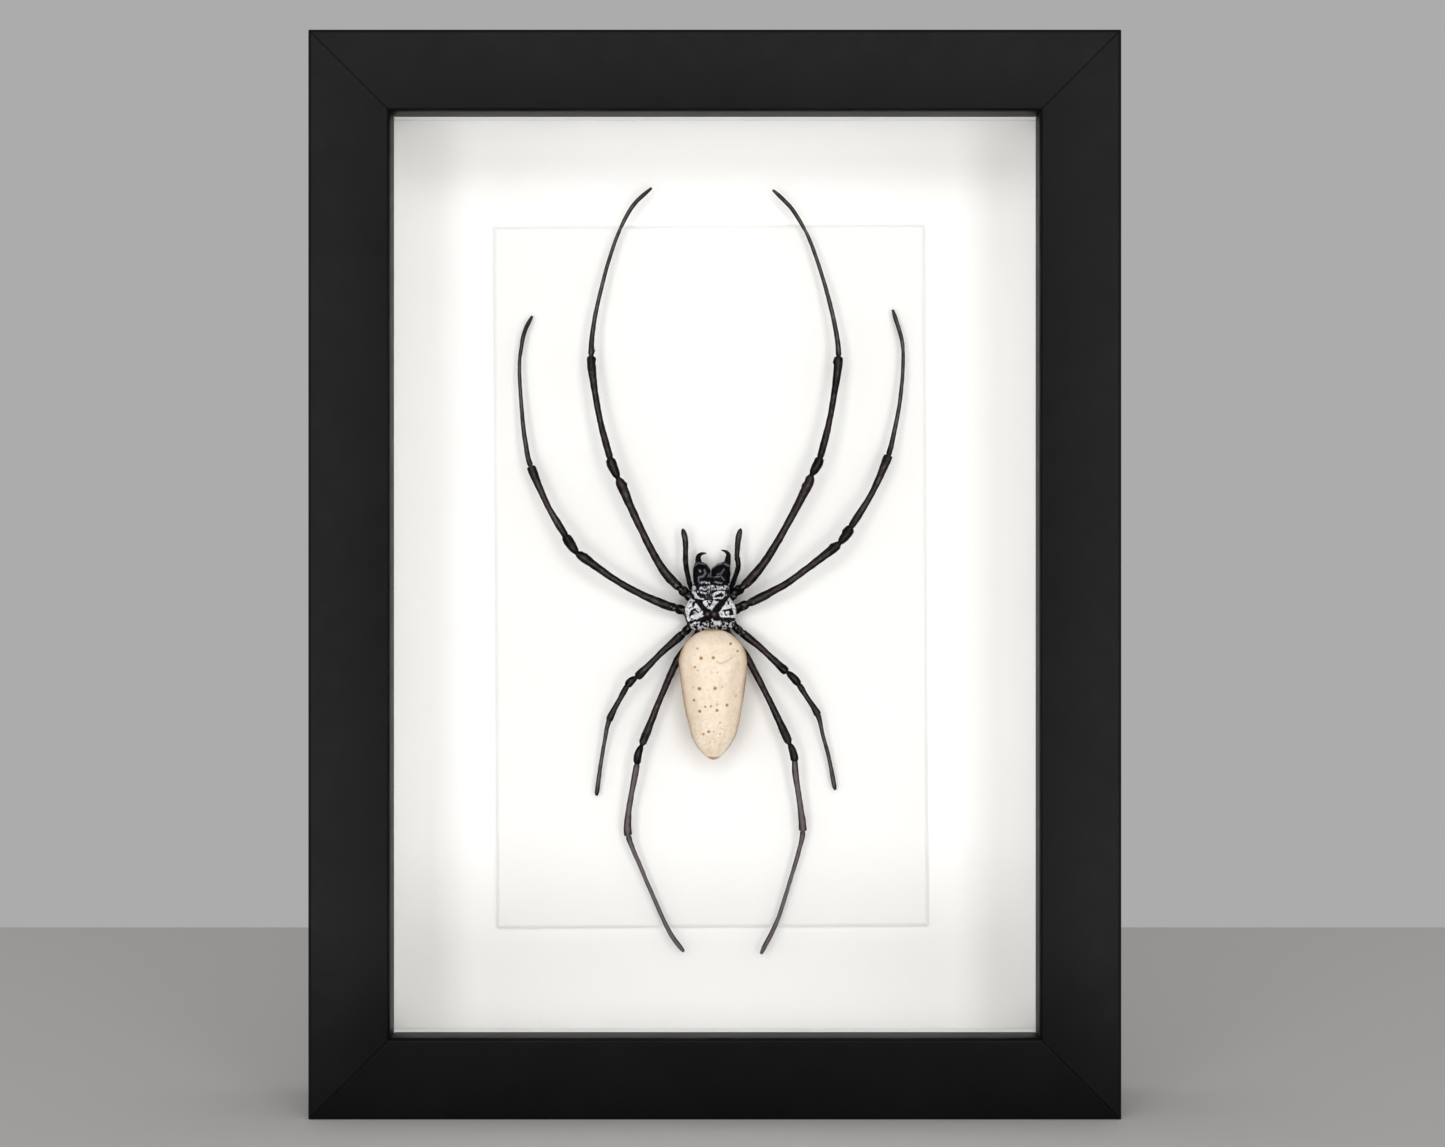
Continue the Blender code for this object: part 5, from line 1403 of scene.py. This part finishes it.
def build_abdomen(bristle_finishes):
    """The abdomen with its pits, creases and folds, brown in them and at both ends."""
    places, angle = body_rings(ABDOMEN_ROWS, ABDOMEN_MIDDLE, ABDOMEN_SIDES, ABDOMEN_RINGS, 0.0)
    x, y = places[..., 0], places[..., 1]
    centre = np.stack([0 * x + ABDOMEN_MIDDLE, y, 0 * x + 7.0], -1)
    outward = places - centre
    outward /= np.linalg.norm(outward, axis=-1)[..., None]
    top = np.clip(np.sin(angle) * 1.5, 0, 1)
    relief = sum(depth * ripple(places, size, seed) for depth, size, seed in ABDOMEN_RIPPLES)
    folds = ripple(places * np.array([1.0, 2.6, 1.0]), 3.0, 12)
    relief = relief - 0.09 * bell(folds, 0.09) * (0.3 + 0.7 * (1 - top))
    brown = np.zeros_like(x)
    for right, up, radius in PITS:
        distance = np.hypot(x - right, y - up)
        relief = relief - 0.16 * radius / 0.3 * bell(distance, radius * 0.9) * top
        brown = np.maximum(brown, min(1.0, radius / 0.28) * smoothstep(1.3, 0.5, distance / radius) * top)
    for start, end, wide, depth, tint in CREASES:
        crease = bell(stroke_distance(x + 0.35 * ripple(places, 1.4, 14), y, start, end), wide) * top
        relief = relief - depth * crease
        brown = np.maximum(brown, tint * crease)
    grain = smoothstep(0.12, 0.5, ripple(places, 0.34, 61)) * (0.13 + 0.17 * smoothstep(*TAIL_GRAIN, y))
    brown = np.maximum(brown, grain)
    places = places + outward * relief[..., None]
    flank = smoothstep(0.25, -0.55, np.sin(angle)) * 0.75
    rim = bell(np.maximum(np.sin(angle), 0), 0.34)
    rim = np.maximum(rim, 0.8 * smoothstep(*FRONT_RIM, y))
    rim = np.maximum(rim, 0.9 * smoothstep(*TAIL_RIM, y))
    brown = np.maximum(brown, rim)
    grow = outward * 0.5 + np.array([0.0, -0.9, 0.0])
    mesh = skin("abdomen_skin", on_panel(places), body_ends(ABDOMEN_ROWS, ABDOMEN_MIDDLE), {
        "brown": brown, "flank": flank, "hair": 0.6 + 0.4 * (1 - top), "grow": world_direction(grow)})
    part_of_model(new_object("abdomen_skin", mesh, abdomen_finish()), "abdomen_skin", "abdomen")
    bristles("abdomen_down", "abdomen", mesh, bristle_finishes, 51)


def build_pedicel(cuticle):
    """The narrow stalk between the two halves of the body."""
    path, lengths, at = even_path(PEDICEL_POINTS, PEDICEL_RINGS)
    width = PEDICEL_WIDTH * (1 + 0.14 * np.cos(at * 6.0))
    places, _, _, angle = tube_rings(path, lengths, at, width, width, PEDICEL_SIDES)
    mesh = skin("stalk", on_panel(places), on_panel([path[0], path[-1]]),
                {"tone": 0.3 + 0 * angle, "gloss": 0.5 + 0 * angle})
    part_of_model(new_object("stalk", mesh, cuticle), "leg_cuticle", "pedicel")


def build_spider():
    bristle_finishes = {
        "dark": bristle_finish("dark bristle", (0.003, 0.0025, 0.0025), (0.011, 0.009, 0.009), 0.5),
        "silver": bristle_finish("silver hair", (0.58, 0.585, 0.62), (0.9, 0.9, 0.92), 0.5),
        "pale": bristle_finish("pale down", (0.8, 0.72, 0.6), (0.92, 0.86, 0.76), 0.6),
    }
    cuticle = leg_cuticle()
    carapace_mesh = build_carapace(bristle_finishes)
    build_eyes(carapace_mesh)
    build_jaws(bristle_finishes)
    build_abdomen(bristle_finishes)
    build_pedicel(cuticle)
    for name in LIMB_JOINTS:
        limb(name, bristle_finishes, cuticle)


# Floor, lights and camera


def build_stage():
    """A plain pale table top, ending behind the frame against a plain grey surrounding."""
    finish = Finish("pale floor", Base_Color=(0.6, 0.59, 0.575), Roughness=0.75)
    work = bmesh.new()
    size = Matrix.Diagonal((FLOOR_WIDTH, FLOOR_REAR - FLOOR_FRONT, FLOOR_THICKNESS, 1.0))
    centre = Matrix.Translation((0, (FLOOR_REAR + FLOOR_FRONT) / 2, -FLOOR_THICKNESS / 2))
    bmesh.ops.create_cube(work, size=1.0, matrix=centre @ size)
    new_object("pale_floor", mesh_from("pale_floor", work), finish.material)


def build_surroundings():
    """Even grey light from all round, except from right behind the camera."""
    world = bpy.data.worlds.new("plain surrounding")
    bpy.context.scene.world = world
    world.use_nodes = True
    tree = world.node_tree
    direction = add_node(tree, "ShaderNodeTexCoord").outputs["Generated"]
    value = add_node(tree, "ShaderNodeSeparateXYZ", {0: direction}).outputs["Y"]
    grey = GREY_BEHIND
    for start, end, then in GREY_CHANGES:
        step = add_node(tree, "ShaderNodeMapRange", {
            "Value": value, "From Min": start, "From Max": end, "To Min": grey, "To Max": then},
            interpolation_type="SMOOTHSTEP")
        grey = step.outputs["Result"]
    tree.links.new(grey, tree.nodes["Background"].inputs["Color"])


def lamp(name, place, width, height, watts):
    """A rectangular lamp that shines at the middle of the frame and isn't seen itself."""
    light = bpy.data.lights.new(name, "AREA")
    light.shape = "RECTANGLE"
    light.size, light.size_y = width, height
    light.energy = watts
    light.color = LAMP_COLOUR
    obj = bpy.data.objects.new(name, light)
    bpy.context.scene.collection.objects.link(obj)
    obj.location = place
    obj.rotation_euler = (MIDDLE - Vector(place)).to_track_quat("-Z", "Y").to_euler()
    obj.visible_camera = False


def build_lights():
    """Lamps in a ring round the camera for an even, nearly shadowless light, and a wide one at each side."""
    for side, x, up, width, height, watts in RING_LAMPS:
        lamp(side + "_ring_lamp", (x, RING_Y, MIDDLE.z + up), width, height, watts)
    right, y, z = WIDE_LAMP_PLACE
    for side, x in (("left", -right), ("right", right)):
        lamp(side + "_wide_softbox", (x, y, z), *WIDE_LAMP_SIZE, WIDE_LAMP_WATTS)


def build_camera():
    """The photograph's own view: level, square to the frame, and a little off its middle."""
    data = bpy.data.cameras.new("camera")
    data.sensor_width = SENSOR_WIDTH
    data.lens = FOCAL_PIXELS / IMAGE_WIDTH * SENSOR_WIDTH
    data.shift_x = (IMAGE_WIDTH / 2 - MIDDLE_PIXEL[0]) / IMAGE_WIDTH
    data.shift_y = (MIDDLE_PIXEL[1] - IMAGE_HEIGHT / 2) / IMAGE_WIDTH
    camera = bpy.data.objects.new("camera", data)
    camera.location = (0, FRONT - CAMERA_DISTANCE, MIDDLE.z)
    camera.rotation_euler = (math.pi / 2, 0, 0)
    bpy.context.scene.collection.objects.link(camera)
    bpy.context.scene.camera = camera


build_camera()
build_stage()
build_surroundings()
build_lights()
build_rails()
build_card_lining()
build_boards()
build_retainers()
build_hanger()
build_spider()
bpy.context.scene.view_settings.view_transform = "Standard"
